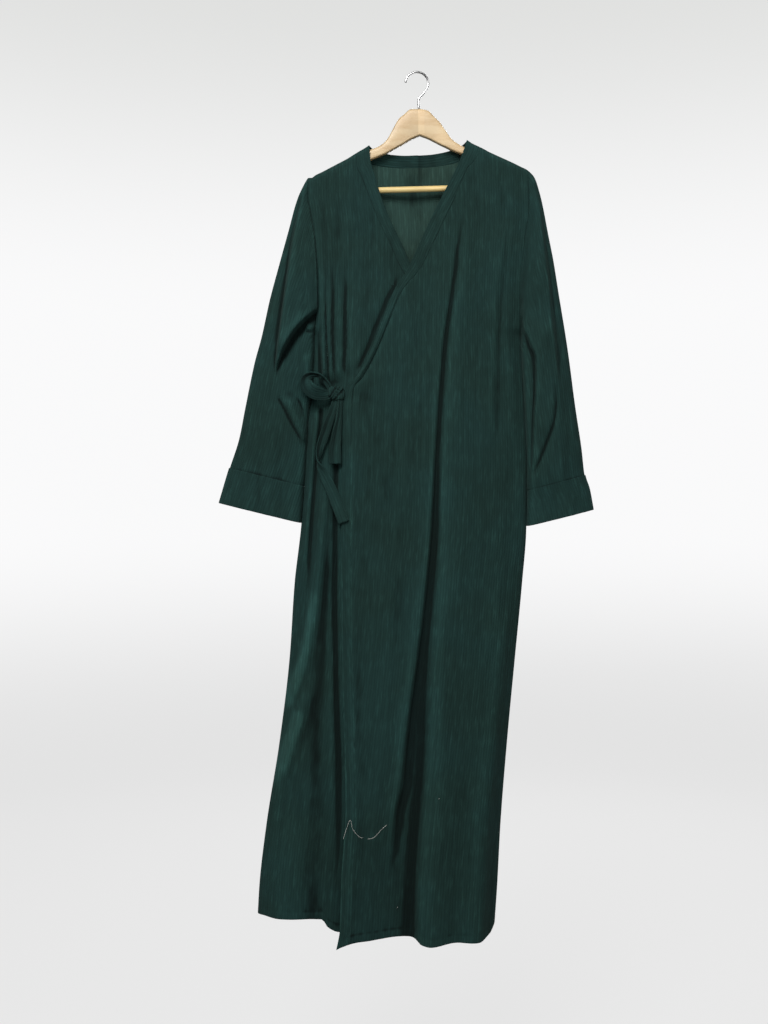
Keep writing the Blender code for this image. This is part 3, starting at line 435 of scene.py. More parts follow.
FOLDS_UNDER = {
    "ridge down the left side": Fold((11, 10), (6, 13), (90, 30), [
        (-160, -700), (-171, -799), (-183, -931), (-200, -1032), (-224, -1115), (-243, -1156)]),
    "second diagonal ridge": Fold((12, 10), (6, 13), (70, 30), [
        (-196, -1110), (-213, -1170), (-224, -1205), (-243, -1262), (-257, -1305)]),
    "trough beside the over front": Fold((16, 15), (-6, 0), (80, 1), [
        (-164, -860), (-166, -1001), (-178, -1122), (-186, -1216), (-190, -1400), (-188, -1600)]),
    "left corner roll": Fold((30, 30), (4, 12), (120, 1), [
        (-235, -1330), (-246, -1450), (-252, -1600)]),
    "gather by the side": Fold((3, 4.5), (18, 30), (110, 24), [
        (-177, -350), (-177.5, -430), (-175, -500), (-171, -580)]),
    "second gather": Fold((4, 4.5), (3, 10), (120, 24), [
        (-164.5, -345), (-164.5, -425), (-163.5, -498), (-158.5, -578)]),
    "widest gather": Fold((7.5, 8), (3, 9), (160, 24), [
        (-146, -330), (-145.5, -425), (-146, -507), (-147, -575)]),
    "last gather": Fold((4, 26), (2, 4.5), (130, 30), [
        (-126, -340), (-127, -425), (-127, -507), (-131, -562)]),
    "dark line between gathers": Fold((2.6, 2.6), (-1, -3.6), (110, 24), [
        (-171, -345), (-171, -425), (-169, -498), (-163, -560)]),
    "dark line of the widest": Fold((2.6, 2.6), (-1, -3), (120, 24), [
        (-157.5, -345), (-157, -425), (-157, -507), (-154, -568)]),
    "dark line by the front": Fold((3, 3), (-1, -3), (120, 24), [
        (-134, -350), (-134, -425), (-134, -507), (-138, -562)]),
    "side roll over the cuff": Fold((7, 6), (14, 12), (30, 60), [
        (-184, -622), (-192, -690), (-198, -753), (-205, -838), (-211, -920)]),
    "crease below the tie": Fold((4, 5), (-12, -11), (20, 80), [
        (-178, -614), (-184, -680), (-190, -740), (-198, -838), (-203, -930)]),
    "roll between the creases": Fold((7, 7), (4, 3), (30, 80), [
        (-166, -660), (-172, -740), (-178, -850), (-184, -940)]),
    "shadow by the over front": Fold((6, 12), (-8, -6), (60, 400), [
        (-147, -640), (-150, -760), (-151, -865), (-152, -988), (-151, -1100), (-148, -1240),
        (-147, -1400), (-151, -1540)]),
    "shade under the free edge": Fold((5, 6), (-3, -5), (60, 30), [
        (-32, -372), (-54, -415), (-76, -470), (-95, -520), (-116, -560)]),
    "second ridge, low": Fold((20, 22), (1, 3), (120, 1), [
        (-212, -1180), (-222, -1350), (-226, -1600)]),
}
FOLDS_SLEEVE = {
    "left": {
        "roll along the flap's lower edge": Fold((14, 5), (4, 6), (20, 20), [
            (-196, -445), (-213, -464), (-231, -486), (-246, -510), (-254, -528)]),
        "outer ridge": Fold((4, 18), (5, 4), (14, 30), [
            (-208, -215), (-214, -245), (-226, -300), (-236, -365), (-246, -440), (-256, -525)]),
        "outer strip": Fold((9, 4), (-5, -4), (16, 120), [
            (-214, -225), (-222, -250), (-234, -310), (-243, -375), (-253, -450), (-263, -530),
            (-267, -575)]),
        "bulge at the underarm": Fold((8, 8), (6, 6), (4, 4), [(-206, -470), (-190, -474)]),
        "dark line at the underarm": Fold((2.5, 2.5), (-4, -4), (4, 4), [
            (-207, -481), (-191, -482)]),
        "diagonal strip": Fold((9, 8), (7, 8), (20, 10), [
            (-243, -598), (-228, -632), (-214, -661), (-203, -684)]),
        "dark line left of the strip": Fold((3, 3), (-5, -6), (14, 10), [
            (-258, -600), (-244, -626), (-231, -651), (-218, -675), (-205, -702)]),
        "dark line right of the strip": Fold((3, 3), (-4, -5), (14, 8), [
            (-223, -600), (-213, -624), (-203, -649), (-197, -664)]),
        "inner roll": Fold((7, 9), (4, 6), (14, 14), [
            (-206, -520), (-201, -560), (-199, -600), (-198, -640)]),
        "long soft roll": Fold((26, 24), (1, 5), (60, 60), [
            (-262, -600), (-276, -660), (-288, -730)]),
    },
    "right": {
        "sharp ridge": Fold((22, 4), (4, 5), (14, 60), [
            (207, -190), (219, -230), (226, -311), (235, -389), (241, -470), (246, -520)]),
        "outer strip": Fold((4, 10), (-6, -7), (16, 60), [
            (214, -200), (230, -262), (238, -342), (248, -430), (255, -520), (259, -590)]),
        "soft line to the cuff": Fold((4, 4), (-3.5, -5), (60, 20), [
            (250, -558), (251, -611), (247, -647), (235, -682), (218, -726), (206, -752)]),
        "roll inside that line": Fold((16, 8), (1, 4), (60, 40), [
            (238, -540), (240, -600), (236, -640), (224, -680)]),
        "long soft roll": Fold((22, 26), (1, 4), (60, 60), [
            (272, -600), (278, -660), (284, -740)]),
    },
}
# The part of each sleeve that hangs over the rest: its lower or inner edge, and the ridge at its
# outer side
FLAP_EDGES = {
    "left": (
        # Lower edge
        Line([(-178, -437), (-192, -446), (-210, -464), (-225, -481), (-239, -503), (-252, -528),
             (-260, -552), (-263, -570)]),
        # Outer ridge
        Line([(-206, -190), (-214, -235), (-224, -285), (-234, -345), (-245, -425), (-252, -480),
             (-259, -535), (-262, -640)]),
    ),
    "right": (
        # Inner edge
        Line([(190, -430), (193, -474), (199, -490), (206, -510), (214, -533), (214.5, -588),
             (212, -632), (209, -713), (206, -760)]),
        # Outer ridge
        Line([(207, -190), (219, -230), (226, -311), (235, -389), (243, -470), (249, -530),
             (252, -600), (256, -700), (262, -860)]),
    ),
}
FOLDS_BACK = {
    "middle of the back": Fold((40, 46), (2, 7), (260, 1), [
        (6, -520), (-4, -900), (-30, -1250), (-48, -1590)]),
    "left back fold": Fold((18, 24), (1, 8), (220, 1), [
        (-88, -620), (-110, -950), (-150, -1300), (-176, -1590)]),
    "right back fold": Fold((24, 18), (1, 7), (220, 1), [
        (104, -640), (98, -950), (66, -1300), (52, -1590)]),
    "crease beside it": Fold((14, 14), (-0.5, -1.6), (160, 80), [
        (60, -700), (52, -1000), (26, -1400)]),
    "left crease": Fold((13, 16), (-0.5, -1.6), (160, 80), [
        (-60, -760), (-76, -1050), (-110, -1440)]),
}
FOLDS_SLEEVE_BACK = {
    "left": {
        "back fold": Fold((14, 18), (3, 5), (60, 60), [
            (-216, -300), (-240, -420), (-262, -540), (-280, -660)]),
        "elbow trough": Fold((14, 10), (-3, -4), (30, 60), [
            (-236, -560), (-252, -640), (-276, -710)]),
    },
    "right": {
        "back fold": Fold((16, 14), (3, 5), (60, 60), [
            (222, -300), (236, -420), (250, -540), (264, -680)]),
        "elbow trough": Fold((10, 14), (-3, -4), (30, 60), [
            (232, -540), (240, -630), (250, -720)]),
    },
}
# Painted highlights along the under front's two ridges, and painted shade beside them
SHADES_UNDER = {
    "upper ridge": Fold((12, 10), (-1.6, -3), (60, 20), [
        (-190, -940), (-196, -1012), (-200, -1049), (-213, -1095), (-231, -1141), (-246, -1175)]),
    "lower ridge": Fold((13, 11), (-2.8, -2.4), (20, 60), [
        (-216, -1168), (-226, -1206), (-242, -1252), (-253, -1280), (-272, -1330)]),
    "beside the ridges": Fold((22, 30), (0.1, 0.4), (120, 60), [
        (-172, -960), (-175, -1060), (-182, -1140), (-190, -1220), (-196, -1300), (-204, -1400)]),
}


def rise(folds, x, z):
    """How far a set of folds lifts the cloth at each place."""
    return sum(fold.rise(x, z) for fold in folds.values())


def tilted(x, z):
    """A place on the hanger, turned with it about the hook."""
    return x * math.cos(TILT) - z * math.sin(TILT), z * math.cos(TILT) + x * math.sin(TILT)


def shoulder(x):
    """The height of the middle of the cloth where it lies along the top of the hanger's arm."""
    x = np.sign(x) * np.clip(np.abs(x), PEAK_X, TIP_X)
    height = read(ARM, "top", np.abs(x), "out")
    for _ in range(3):
        along = x * math.cos(TILT) + height * math.sin(TILT)
        height = read(ARM, "top", np.minimum(np.abs(along), ARM_STRAIGHT), "out")
        height = height * math.cos(TILT) + along * math.sin(TILT)
    return height + EASE + WALL / 2 + read(CREST, "rise", np.abs(x), "out")


def over_the_arm(x, z):
    """From 0 on top of the hanger's arm to 1 once the cloth hangs down beside it."""
    drop = np.clip((shoulder(x) - z) / ARM_ROUND, 0, 1)
    return np.sqrt(1 - (1 - drop) ** 2)


def sides_at(z):
    """The body's two side edges."""
    return read(BODY, "left", z), read(BODY, "right", z)


def lens(x, z, share):
    """The body's section: 1 across the middle, falling to the share at the two side edges."""
    left, right = sides_at(z)
    across = np.clip(np.abs((2 * x - left - right) / (right - left)), 0, 1)
    closed = np.sqrt(np.clip(1 - across ** LENS_POWER, 0, 1))
    return closed + (1 - closed) * share * across ** EDGE_POWER


def stand(x, z, side):
    """How far the cloth stands from the hanger's plane, before folds; side is front or back."""
    full = read(BODY, side, z) * lens(x, z, read(ARMHOLE, "share", z))
    bulge = NAPE_DEPTH * bell(x, NAPE_SPREAD) * ease((z - NAPE_END) / NAPE_FADE)
    bulge = bulge if side == "back" else 0
    below = 1 - np.exp(-np.clip(shoulder(x) - z, 0, None) / SHOULDER_FADE)
    return ARM_ROUND * over_the_arm(x, z) * np.minimum(1, full / ARM_ROUND) + (
        np.clip(full - ARM_ROUND, 0, None) + bulge
    ) * below


def side_hold(x, z):
    """0 at the side seams, where front and back are sewn together, and 1 away from them."""
    left, right = sides_at(z)
    return ease((x - left) / HOLD) * ease((right - x) / HOLD)


def under_depth(x, z):
    """Y of the under front's middle: folds only where the over front doesn't lie on it."""
    shown = ease((read(OVER_EDGE, "across", z) - x - 1) / 8)
    return -stand(x, z, "front") - rise(FOLDS_UNDER, x, z) * side_hold(x, z) * shown


def over_depth(x, z):
    """Y of the over front's middle: one layer proud of the under front, and folded more."""
    proud = LAYER + np.clip(rise(FOLDS_OVER, x, z), OVER_LOW, None)
    return -stand(x, z, "front") - proud * side_hold(x, z)


def back_depth(x, z):
    """Y of the back's middle, before its folds."""
    return stand(x, z, "back")


def levels():
    """Heights of the rows of the body panels: close over the shoulder, then even to the hem."""
    start = LEVEL_DROPS[-1] + CELL
    even = np.arange(start, LEVEL_TOP - UNDERARM - CELL / 2, CELL)
    low = np.linspace(UNDERARM, LEVEL_LOW, int((UNDERARM - LEVEL_LOW) / CELL))
    last = [LEVEL_LOW + LIPS[1], LEVEL_LOW + LIPS[0], LEVEL_LOW]
    return np.concatenate([LEVEL_TOP - np.array([*LEVEL_DROPS, *even]), low[:-1], last])


UNDERARM_ROW = int(np.argmin(np.abs(levels() - UNDERARM)))


def finer(columns, cell):
    """The same columns with more between them, so that none is wider than a cell."""
    parts = []
    for i, gap in enumerate(np.abs(np.diff(columns, axis=1)).mean(axis=0)):
        count = max(1, int(math.ceil(gap / cell)))
        t = np.arange(count) / count
        parts.append(columns[:, i:i + 1] * (1 - t) + columns[:, i + 1:i + 2] * t)
    return np.concatenate(parts + [columns[:, -1:]], axis=1)


def with_lips(columns):
    """The columns with two more inside each cut edge, where the cloth's edge is rounded."""
    cuts = [0] + [i + 1 for i, gap in enumerate(np.diff(columns)) if gap < SAME]
    near, far = LIPS
    out = []
    for first, last in zip(cuts, cuts[1:] + [len(columns)]):
        a, *inner, b = columns[first:last]
        out += [a, a + near, a + far, *inner, b - far, b - near, b]
    return np.array(out)


def seam_column(grid):
    """The first column past the seam between a panel and its band."""
    return int(np.argmin(np.abs(np.diff(grid[..., 0], axis=1)).mean(axis=0))) + 1


def panel(left_edge, right_edge, crest, hem, shares, depth, cell):
    """Points of a body panel, as rows from the shoulder seam to the hem."""
    coarse, heights = [], []
    for level in levels():
        def height(x, level=level):
            top = (crest(x) - LEVEL_TOP) * ease((level - LEVEL_EVEN) / (LEVEL_TOP - LEVEL_EVEN))
            low = read(hem, "drop", x, "across") - LEVEL_LOW
            return level + top + low * ease((LEVEL_HEM - level) / (LEVEL_HEM - LEVEL_LOW))

        x0, x1 = left_edge(level), right_edge(level)
        for _ in range(8):
            x0, x1 = left_edge(height(x0)), right_edge(height(x1))
        coarse.append(with_lips(shares(height, x0, x1)))
        heights.append(height)
    x = finer(np.array(coarse), cell)
    z = np.array([height(row) for height, row in zip(heights, x)])
    return np.stack([x, depth(x, z), z], axis=-1)


def grid_normals(grid, ring=False):
    """Outward directions at a grid's points; with ring, its columns close on themselves."""
    if ring:
        across = np.roll(grid, -1, axis=1) - np.roll(grid, 1, axis=1)
    else:
        across = np.gradient(grid, axis=1)
    return unit(np.cross(np.gradient(grid, axis=0), across))


def over_shares(height, x0, x1):
    """Columns of the over front: its band, then the panel, close along the main crease."""
    seam = x0 + float(read(OVER_EDGE, "band", height(x0)))
    crease = FOLDS_OVER["crease itself"].places
    crest = np.interp(-height(x0), -crease[:, 1], crease[:, 0])
    crest = np.clip(crest, seam + 0.3 * (x1 - seam), seam + 0.7 * (x1 - seam))
    near = min(1.0, (x1 - seam) / 180)
    left = seam + (crest + OVER_CREASE[0] * near - seam) * np.array(OVER_LEFT)
    middle = crest + near * np.array(OVER_CREASE)
    right = middle[-1] + (x1 - middle[-1]) * np.array(OVER_RIGHT)
    return np.concatenate([[x0, x0 + (seam - x0) * 0.5, seam, seam], left, middle, right])


def under_shares(height, x0, x1):
    """Columns of the under front, close where it shows and wide where it is covered, then its
    band."""
    seam = x1 - float(read(UNDER_EDGE, "band", height(x1)))
    cover = float(read(OVER_EDGE, "across", height(x0)))
    cover = np.clip(cover, x0 + 0.25 * (seam - x0), x0 + 0.82 * (seam - x0))
    seen = x0 + (cover - x0) * np.array(UNDER_SEEN)
    hidden = cover + (seam - cover) * 0.5
    return np.concatenate([seen, [hidden, seam, seam, (seam + x1) / 2, x1]])


def back_shares(height, x0, x1):
    """Columns of the back: those of the nape's band, and a few more out to each armhole."""
    out = np.array(BACK_OUT)
    shares = np.concatenate([-out[::-1], NAPE["turn"] * NECK_X / TIP_X, out])
    return (x0 + x1) / 2 + (x1 - x0) / 2 * shares


def nape(turn, reach, column):
    """Height of an edge of the nape's band that runs between two points of the shoulders."""
    ends = shoulder(np.array([-reach, reach]))
    share = (np.clip(turn, -1, 1) + 1) / 2
    return ends[0] + (ends[1] - ends[0]) * share - read(NAPE, column, turn, "turn")


def nape_seam(x):
    """Height of the back's upper edge: the neck seam, and the shoulder seam past it."""
    return np.where(np.abs(x) < NECK_X + 0.1, nape(x / NECK_X, NECK_X, "seam"), shoulder(x))


def ring_angles(front):
    """Angles round the sleeve for the rows of the body's armhole."""
    z = front[: UNDERARM_ROW + 1, 2]
    half = np.arccos(np.clip((2 * z - z[0] - z[-1]) / (z[0] - z[-1]), -1, 1))
    return np.concatenate([half, 2 * math.pi - half[-2:0:-1]])


def armhole(front, rear):
    """Places and directions of the armhole's edge, down the front and up the back."""
    at, out = (np.concatenate([f[: UNDERARM_ROW + 1], r[UNDERARM_ROW - 1:0:-1]])
               for f, r in zip(front, rear))
    for row in (0, UNDERARM_ROW):
        at[row] = (front[0][row] + rear[0][row]) / 2
        out[row] = unit(front[1][row] + rear[1][row])
    return at, out


def near_cuff(side, step):
    """From 0 up the sleeve to 1 where it goes under its cuff."""
    return ease((step - CUFF_STARTS[side] + CUFF_NEAR) / CUFF_NEAR)


def sleeve_ring(side, step, angle):
    """Places on a sleeve's middle surface by step along it and angle round it: from its outer
    edge (0) over the front (a quarter turn) to its inner edge (a half turn) and the back."""
    outer_x, outer_z, inner_z, front, rear = (
        read(SLEEVES[side], column, step, "step")
        for column in ("outer_x", "outer_z", "inner_z", "front", "back"))
    beside = BESIDE + CUFF_DRAW * near_cuff(side, step)
    inner_x = read(BODY, side, inner_z) + SIGN[side] * beside
    x = (outer_x + inner_x) / 2 + (outer_x - inner_x) / 2 * np.cos(angle)
    z = (outer_z + inner_z) / 2 + (outer_z - inner_z) / 2 * np.cos(angle)
    square = SLEEVE_SQUARE - INNER_SQUARE * ease(-np.cos(angle)) * (np.sin(angle) > 0)
    turn = np.sign(np.sin(angle)) * np.abs(np.sin(angle)) ** square
    return np.stack([x, np.where(turn > 0, -front, -rear) * turn, z], axis=-1)


def cloth_front(x, z):
    """Y of the foremost cloth: the under front, and the over front from its free edge on."""
    under, over = under_depth(x, z), over_depth(x, z)
    return under + (over - under) * ease((x - read(OVER_EDGE, "across", z) + 14) / 10)


def hook_line():
    """The hook's wire: a bow over the rail, an easy bend back, and the stem into the wood."""
    turns = [math.radians(degrees) for degrees in np.linspace(174, -40, 17)]
    bow = [(HOOK_SIDE + HOOK_BOW * math.cos(t), HOOK_WIRE - HOOK_BOW + HOOK_BOW * math.sin(t))
           for t in turns]
    foot = tilted(0.0, float(ARM["top"][0]))
    return [(x, 0.0, z) for x, z in (*bow, *HOOK_STEM, foot)]


def value_noise(x, z, wide, tall, seed):
    """Smooth noise between -1 and 1 over cells that wide and tall, the same each run."""
    lattice = np.random.RandomState(seed).uniform(-1, 1, (LATTICE, LATTICE))
    u, v = x / wide + 50, z / tall + 50
    i, j = np.floor(u).astype(int), np.floor(v).astype(int)
    s, t = ease(u - i), ease(v - j)
    a, b, c, d = (lattice[(i + p) % LATTICE, (j + q) % LATTICE] for q in (0, 1) for p in (0, 1))
    return (a * (1 - s) + b * s) * (1 - t) + (c * (1 - s) + d * s) * t


def slack(x, z, seed):
    """The cloth's small unevenness: long soft waves down it, and a few short dents."""
    lean = x - SLACK_LEAN * z
    return sum(high * value_noise(lean, z, wide, tall, seed + i)
               for i, (high, wide, tall) in enumerate(SLACK))


def by_stitches(above, spread):
    """1 on the hem's line of stitches, by the distance above the panel's lower edge."""
    return bell(above - HEM + STITCH_IN, spread)


def turned_hem(above):
    """How far the turned-up hem stands proud."""
    proud = HEM_PROUD * ease((HEM - above) / HEM_RISE)
    return proud - STITCH_DEEP * by_stitches(above, STITCH_WIDE)


def wale_place(x, z):
    """The place across the wales: they run with the body's lean and open out a little."""
    left, right = sides_at(z)
    lean = (x - (left + right) / 2) * (0.5 + 0.5 * WALE_WIDTH / (right - left))
    return lean + 0.12 * value_noise(x, z, 40, 160, 5)


def edge_plump(count):
    """How full the cloth is across its columns or rows: rounded at both edges."""
    plump = np.ones(count)
    plump[[0, -1]], plump[[1, -2]] = EDGE_FULL
    return plump


def averaged(grid, ring, times):
    """The grid with each place averaged so many times with its neighbours."""
    for _ in range(times):
        if ring:
            sides = np.roll(grid, 1, axis=1), np.roll(grid, -1, axis=1)
        else:
            wider = np.pad(grid, ((0, 0), (1, 1), (0, 0)), mode="edge")
            sides = wider[:, :-2], wider[:, 2:]
        grid = (sides[0] + 2 * grid + sides[1]) / 4
        taller = np.pad(grid, ((1, 1), (0, 0), (0, 0)), mode="edge")
        grid = (taller[:-2] + 2 * grid + taller[2:]) / 4
    return grid


def hollows(grid, normal, ring):
    """How deep each place lies between the cloth around it: above 0 in a crease, below 0 on a
    ridge."""
    return sum(np.sum((averaged(grid, ring, times) - grid) * normal, axis=-1) / full
               for times, full in HOLLOWS)


def shell(node, grid, normal, uv, stuff, ring=False, thick=CLOTH, plump=None, inside=None,
          lines=0.0):
    """A cloth piece: a closed thin shell about the grid, with wale coordinates in its UV map,
    painted darker in its hollows and paler on its ridges. Lines is more painted light at each
    place: shade above 0 and highlight below it, on seams, stitch lines, edges and ridges."""
    rows, columns = grid.shape[:2]
    # Painted light: shade in the cloth's hollows and highlights on its ridges, the other way round
    # on the inner side
    painted_light = np.clip(hollows(grid, normal, ring), -1, 1)
    shades = np.concatenate([(painted_light + lines).reshape(-1), -painted_light.reshape(-1)])
    if plump is None:
        plump = edge_plump(rows)[:, None] * (np.ones(columns) if ring else edge_plump(columns))
    half = normal * (thick / 2 * plump)[..., None]
    points = np.concatenate([(grid + half).reshape(-1, 3), (grid - half).reshape(-1, 3)])
    far = rows * columns
    r, c = np.meshgrid(np.arange(rows - 1), np.arange(columns if ring else columns - 1),
                       indexing="ij")
    corners = ((r, c), (r + 1, c), (r + 1, c + 1), (r, c + 1))
    quads = np.stack([(p * columns + q % columns).reshape(-1) for p, q in corners], axis=-1)
    places = np.stack([uv[p, q] for p, q in corners], axis=2).reshape(-1, 4, 2)
    faces = [quads, far + quads[:, ::-1]]
    places = [places, places[:, ::-1]]
    stuffs = [np.zeros(len(quads), int), np.full(len(quads), 1 if inside else 0)]
    across, down = range(columns), range(rows)
    if ring:
        loops = [[(0, q) for q in range(columns + 1)],
                 [(rows - 1, q) for q in range(columns, -1, -1)]]
    else:
        loops = [[(0, q) for q in across] + [(p, columns - 1) for p in down[1:]]
                 + [(rows - 1, q) for q in across[-2::-1]] + [(p, 0) for p in down[-2::-1]]]
    for loop in loops:
        row, column = np.array(loop).T
        index = row * columns + column % columns
        a, b = index[:-1], index[1:]
        faces.append(np.stack([a, b, far + b, far + a], axis=-1))
        ends = uv[row, column]
        places.append(np.stack([ends[:-1], ends[1:], ends[1:], ends[:-1]], axis=1))
        stuffs.append(np.zeros(len(a), int))
    made = surface(node + "_cloth", points, np.concatenate(faces),
                   [stuff] + ([inside] if inside else []), np.concatenate(places),
                   np.concatenate(stuffs), shades)
    replace(made, node)


def surface(name, points, faces, stuffs, places=None, which=None, shades=0.0):
    """An object from points in millimetres and four-sided faces, turned outwards."""
    points, faces = np.asarray(points, float), np.asarray(faces)
    mesh = bpy.data.meshes.new(name)
    mesh.from_pydata((points * MM).tolist(), [], faces.tolist())
    for stuff in stuffs:
        mesh.materials.append(stuff)
    if which is not None:
        mesh.polygons.foreach_set("material_index", np.asarray(which, np.int32))
    # The attribute of painted shade and highlights, counted from LEVEL
    painted_light = mesh.attributes.new("painted_light", "FLOAT", "POINT")
    shades = np.zeros(len(points)) + shades + LEVEL
    painted_light.data.foreach_set("value", np.asarray(shades, np.float32))
    places = np.zeros(8 * len(faces)) if places is None else places
    layer = mesh.uv_layers.new(name="cloth")
    layer.data.foreach_set("uv", np.asarray(places, np.float32).reshape(-1))
    a, b, c, d = (points[faces[:, i]] for i in range(4))
    if np.sum(a * (np.cross(b - a, c - a) + np.cross(c - a, d - a))) < 0:
        mesh.flip_normals()
    mesh.shade_smooth()
    obj = bpy.data.objects.new(name, mesh)
    bpy.context.scene.collection.objects.link(obj)
    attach(obj, "root")
    return obj


def replace(obj, node):
    """Hides the part's node that the object stands in for."""
    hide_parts(node)


def ring_faces(rings, sides):
    """The faces between rings of points: each corner's ring, and its place round the ring."""
    r, a = np.divmod(np.arange((rings - 1) * sides), sides)
    return np.stack([r, r, r + 1, r + 1], axis=1), np.stack([a, a + 1, a + 1, a], axis=1)


def ring_quads(rings, sides):
    """The same faces by the numbers of their points."""
    ring, place = ring_faces(rings, sides)
    return ring * sides + place % sides


def cap_quads(rings, sides):
    """Faces that close the first and the last ring."""
    quads = []
    for ring in (0, rings - 1):
        for a in range(sides // 2 - 1):
            ids = [ring * sides + i for i in (a, a + 1, sides - a - 2, sides - a - 1)]
            quads.append(ids[::-1] if ring == 0 else ids)
    return np.array(quads)


def arc(grid):
    """Distance along a grid's columns."""
    steps = np.linalg.norm(np.diff(grid, axis=0), axis=-1)
    return np.concatenate([np.zeros((1, grid.shape[1])), np.cumsum(steps, axis=0)])


def panel_uv(grid):
    """Wales down the body, with its lean."""
    return np.stack([wale_place(grid[..., 0], grid[..., 2]), -grid[..., 2]], axis=-1) / PITCH


def band_uv(grid):
    """Wales along the band: across it from its first column."""
    return np.stack([arc(grid.swapaxes(0, 1)).T, arc(grid)], axis=-1) / PITCH


def fronts(cloth, inside):
    """Both fronts with their bands, each cut from one surface. Gives their armhole edges."""
    edges = {}
    for name, side, edge, shares, depth, hem, seed in (
        ("under", "left", UNDER_EDGE, under_shares, under_depth, HEM_UNDER, 11),
        ("over", "right", OVER_EDGE, over_shares, over_depth, HEM_OVER, 21),
    ):
        def free(z, edge=edge):
            return read(edge, "across", z)

        def sewn(z, side=side):
            return read(BODY, side, z)

        under = name == "under"
        left, right = (sewn, free) if under else (free, sewn)
        grid = panel(left, right, shoulder, hem, shares, depth, CELL)
        x, y, z = grid[..., 0], grid[..., 1], grid[..., 2]
        drop = shoulder(x) - z
        above = z - read(hem, "drop", x, "across")
        hold = side_hold(x, z) * ease((drop - 12) / FADE)
        y -= slack(x, z, seed) * hold
        y -= turned_hem(above)
        y -= PUCKER * np.sin(x / PUCKER_WAVE) * by_stitches(above, 5)
        outer = 0 if under else -1
        y[:, outer] = depth(x, z)[:, outer]

        at = seam_column(grid)
        distance = x - (x[:, at - 1:at] + x[:, at:at + 1]) / 2
        tied = ease((ABOVE_TIE - z) / PULL_FADE) * ease((z - BELOW_TIE) / FADE)
        y += (0.3 + 0.7 * tied) * bell(distance, SEAM_SPREAD)
        on_band = distance if under else -distance
        hang = ease((drop - 4) / 30)
        y -= (0.15 + 0.5 * tied) * ease((on_band - 1) / 3) * hang
        ditch = bell(np.abs(x - x[:, outer][:, None]), ARMHOLE_DITCH)
        sewn_in = hang * ease((z - UNDERARM) / 30) * (1 if under else 0.5)
        y += ARMHOLE_DITCH * ditch * sewn_in

        # Painted light: shade along the band's seam above the tie and a highlight on its stitch
        # line below, shade in the armhole's ditch and a faint shade on the hem's stitch line
        stitch_highlight = SEAM_PALE * (0.7 + 0.5 * value_noise(x, z, 9, 9, 71)) * (not under)
        lines = SEAM_DARK + (stitch_highlight - SEAM_DARK) * ease((BELOW_TIE - z) / FADE)
        lines = lines * bell(distance, 1.5) + 0.5 * ditch * sewn_in
        lines = lines + 0.04 * by_stitches(above, 1.5)
        if under:
            # Painted shade over the under front, with painted highlights on its ridges and shade
            # beside them
            lines = lines + UNDER_SHADE + rise(SHADES_UNDER, x, z)
        else:
            # Painted highlight along the low free edge and along its stitch line
            inward = x - x[:, :1]
            pale = EDGE_PALE * (0.8 + 0.6 * value_noise(x, z, 9, 9, 73))
            pale = pale * ease((EDGE_PALE_BELOW - z) / FADE)
            lines = lines - pale * (bell(inward - 0.8, 1.2) + 0.5 * bell(inward - 13, 2))
        np.minimum(y, -CLOTH / 2, out=y)
        y[UNDERARM_ROW:, outer] = 0

        normal = grid_normals(grid)
        uv = panel_uv(grid)
        cut, band = slice(None, at), slice(at, None)
        if not under:
            cut, band = band, cut
        shell("front_" + name, grid[:, cut], normal[:, cut], uv[:, cut], cloth, inside=inside,
              lines=lines[:, cut])
        shell("neckband_" + name, grid[:, band], normal[:, band], band_uv(grid[:, band]), cloth,
              lines=lines[:, band])
        edges[side] = grid[:, outer], normal[:, outer]
    return edges


def back(cloth, inside):
    """The back and, on its own columns, the band across the nape. Gives the armhole edges."""
    grid = panel(lambda z: sides_at(z)[0], lambda z: sides_at(z)[1], nape_seam, HEM_BACK,
                 back_shares, back_depth, CELL * 1.25)
    x, y, z = grid[..., 0], grid[..., 1], grid[..., 2]
    hold = side_hold(x, z) * ease((shoulder(x) - z - 30) / FADE)
    above = z - read(HEM_BACK, "drop", x, "across")
    y += (slack(x, z, 31) + rise(FOLDS_BACK, x, z)) * hold + turned_hem(above)
    np.maximum(y, CLOTH / 2, out=y)
    y[UNDERARM_ROW:, [0, -1]] = 0
    neck = np.abs(grid[0, :, 0]) < NECK_X + 0.1
    turn = grid[0, neck, 0] / NECK_X
    top, seam = nape(turn, PEAK_X, "top"), nape(turn, NECK_X, "seam")
    band = []
    for down in NAPE_ROWS:
        x = turn * (PEAK_X + (NECK_X - PEAK_X) * down)
        z = np.minimum(top + (seam - top) * down, shoulder(x))
        wave = 0.5 * value_noise(x, z, 14, 40, 41) * math.sin(math.pi * down)
        band.append(np.stack([x, back_depth(x, z) + wave, z], axis=-1))
    band = np.array(band)
    band[-1] = grid[0, neck]
    band_out, normal = -grid_normals(band), -grid_normals(grid)
    normal[0, neck] = band_out[-1]
    uv = np.stack([arc(band), band[..., 0]], axis=-1) / PITCH
    shell("neckband_back", band, band_out, uv, cloth)
    shell("back", grid, normal, panel_uv(grid), cloth, inside=inside)
    return {side: (grid[:, i], normal[:, i]) for side, i in (("left", 0), ("right", -1))}


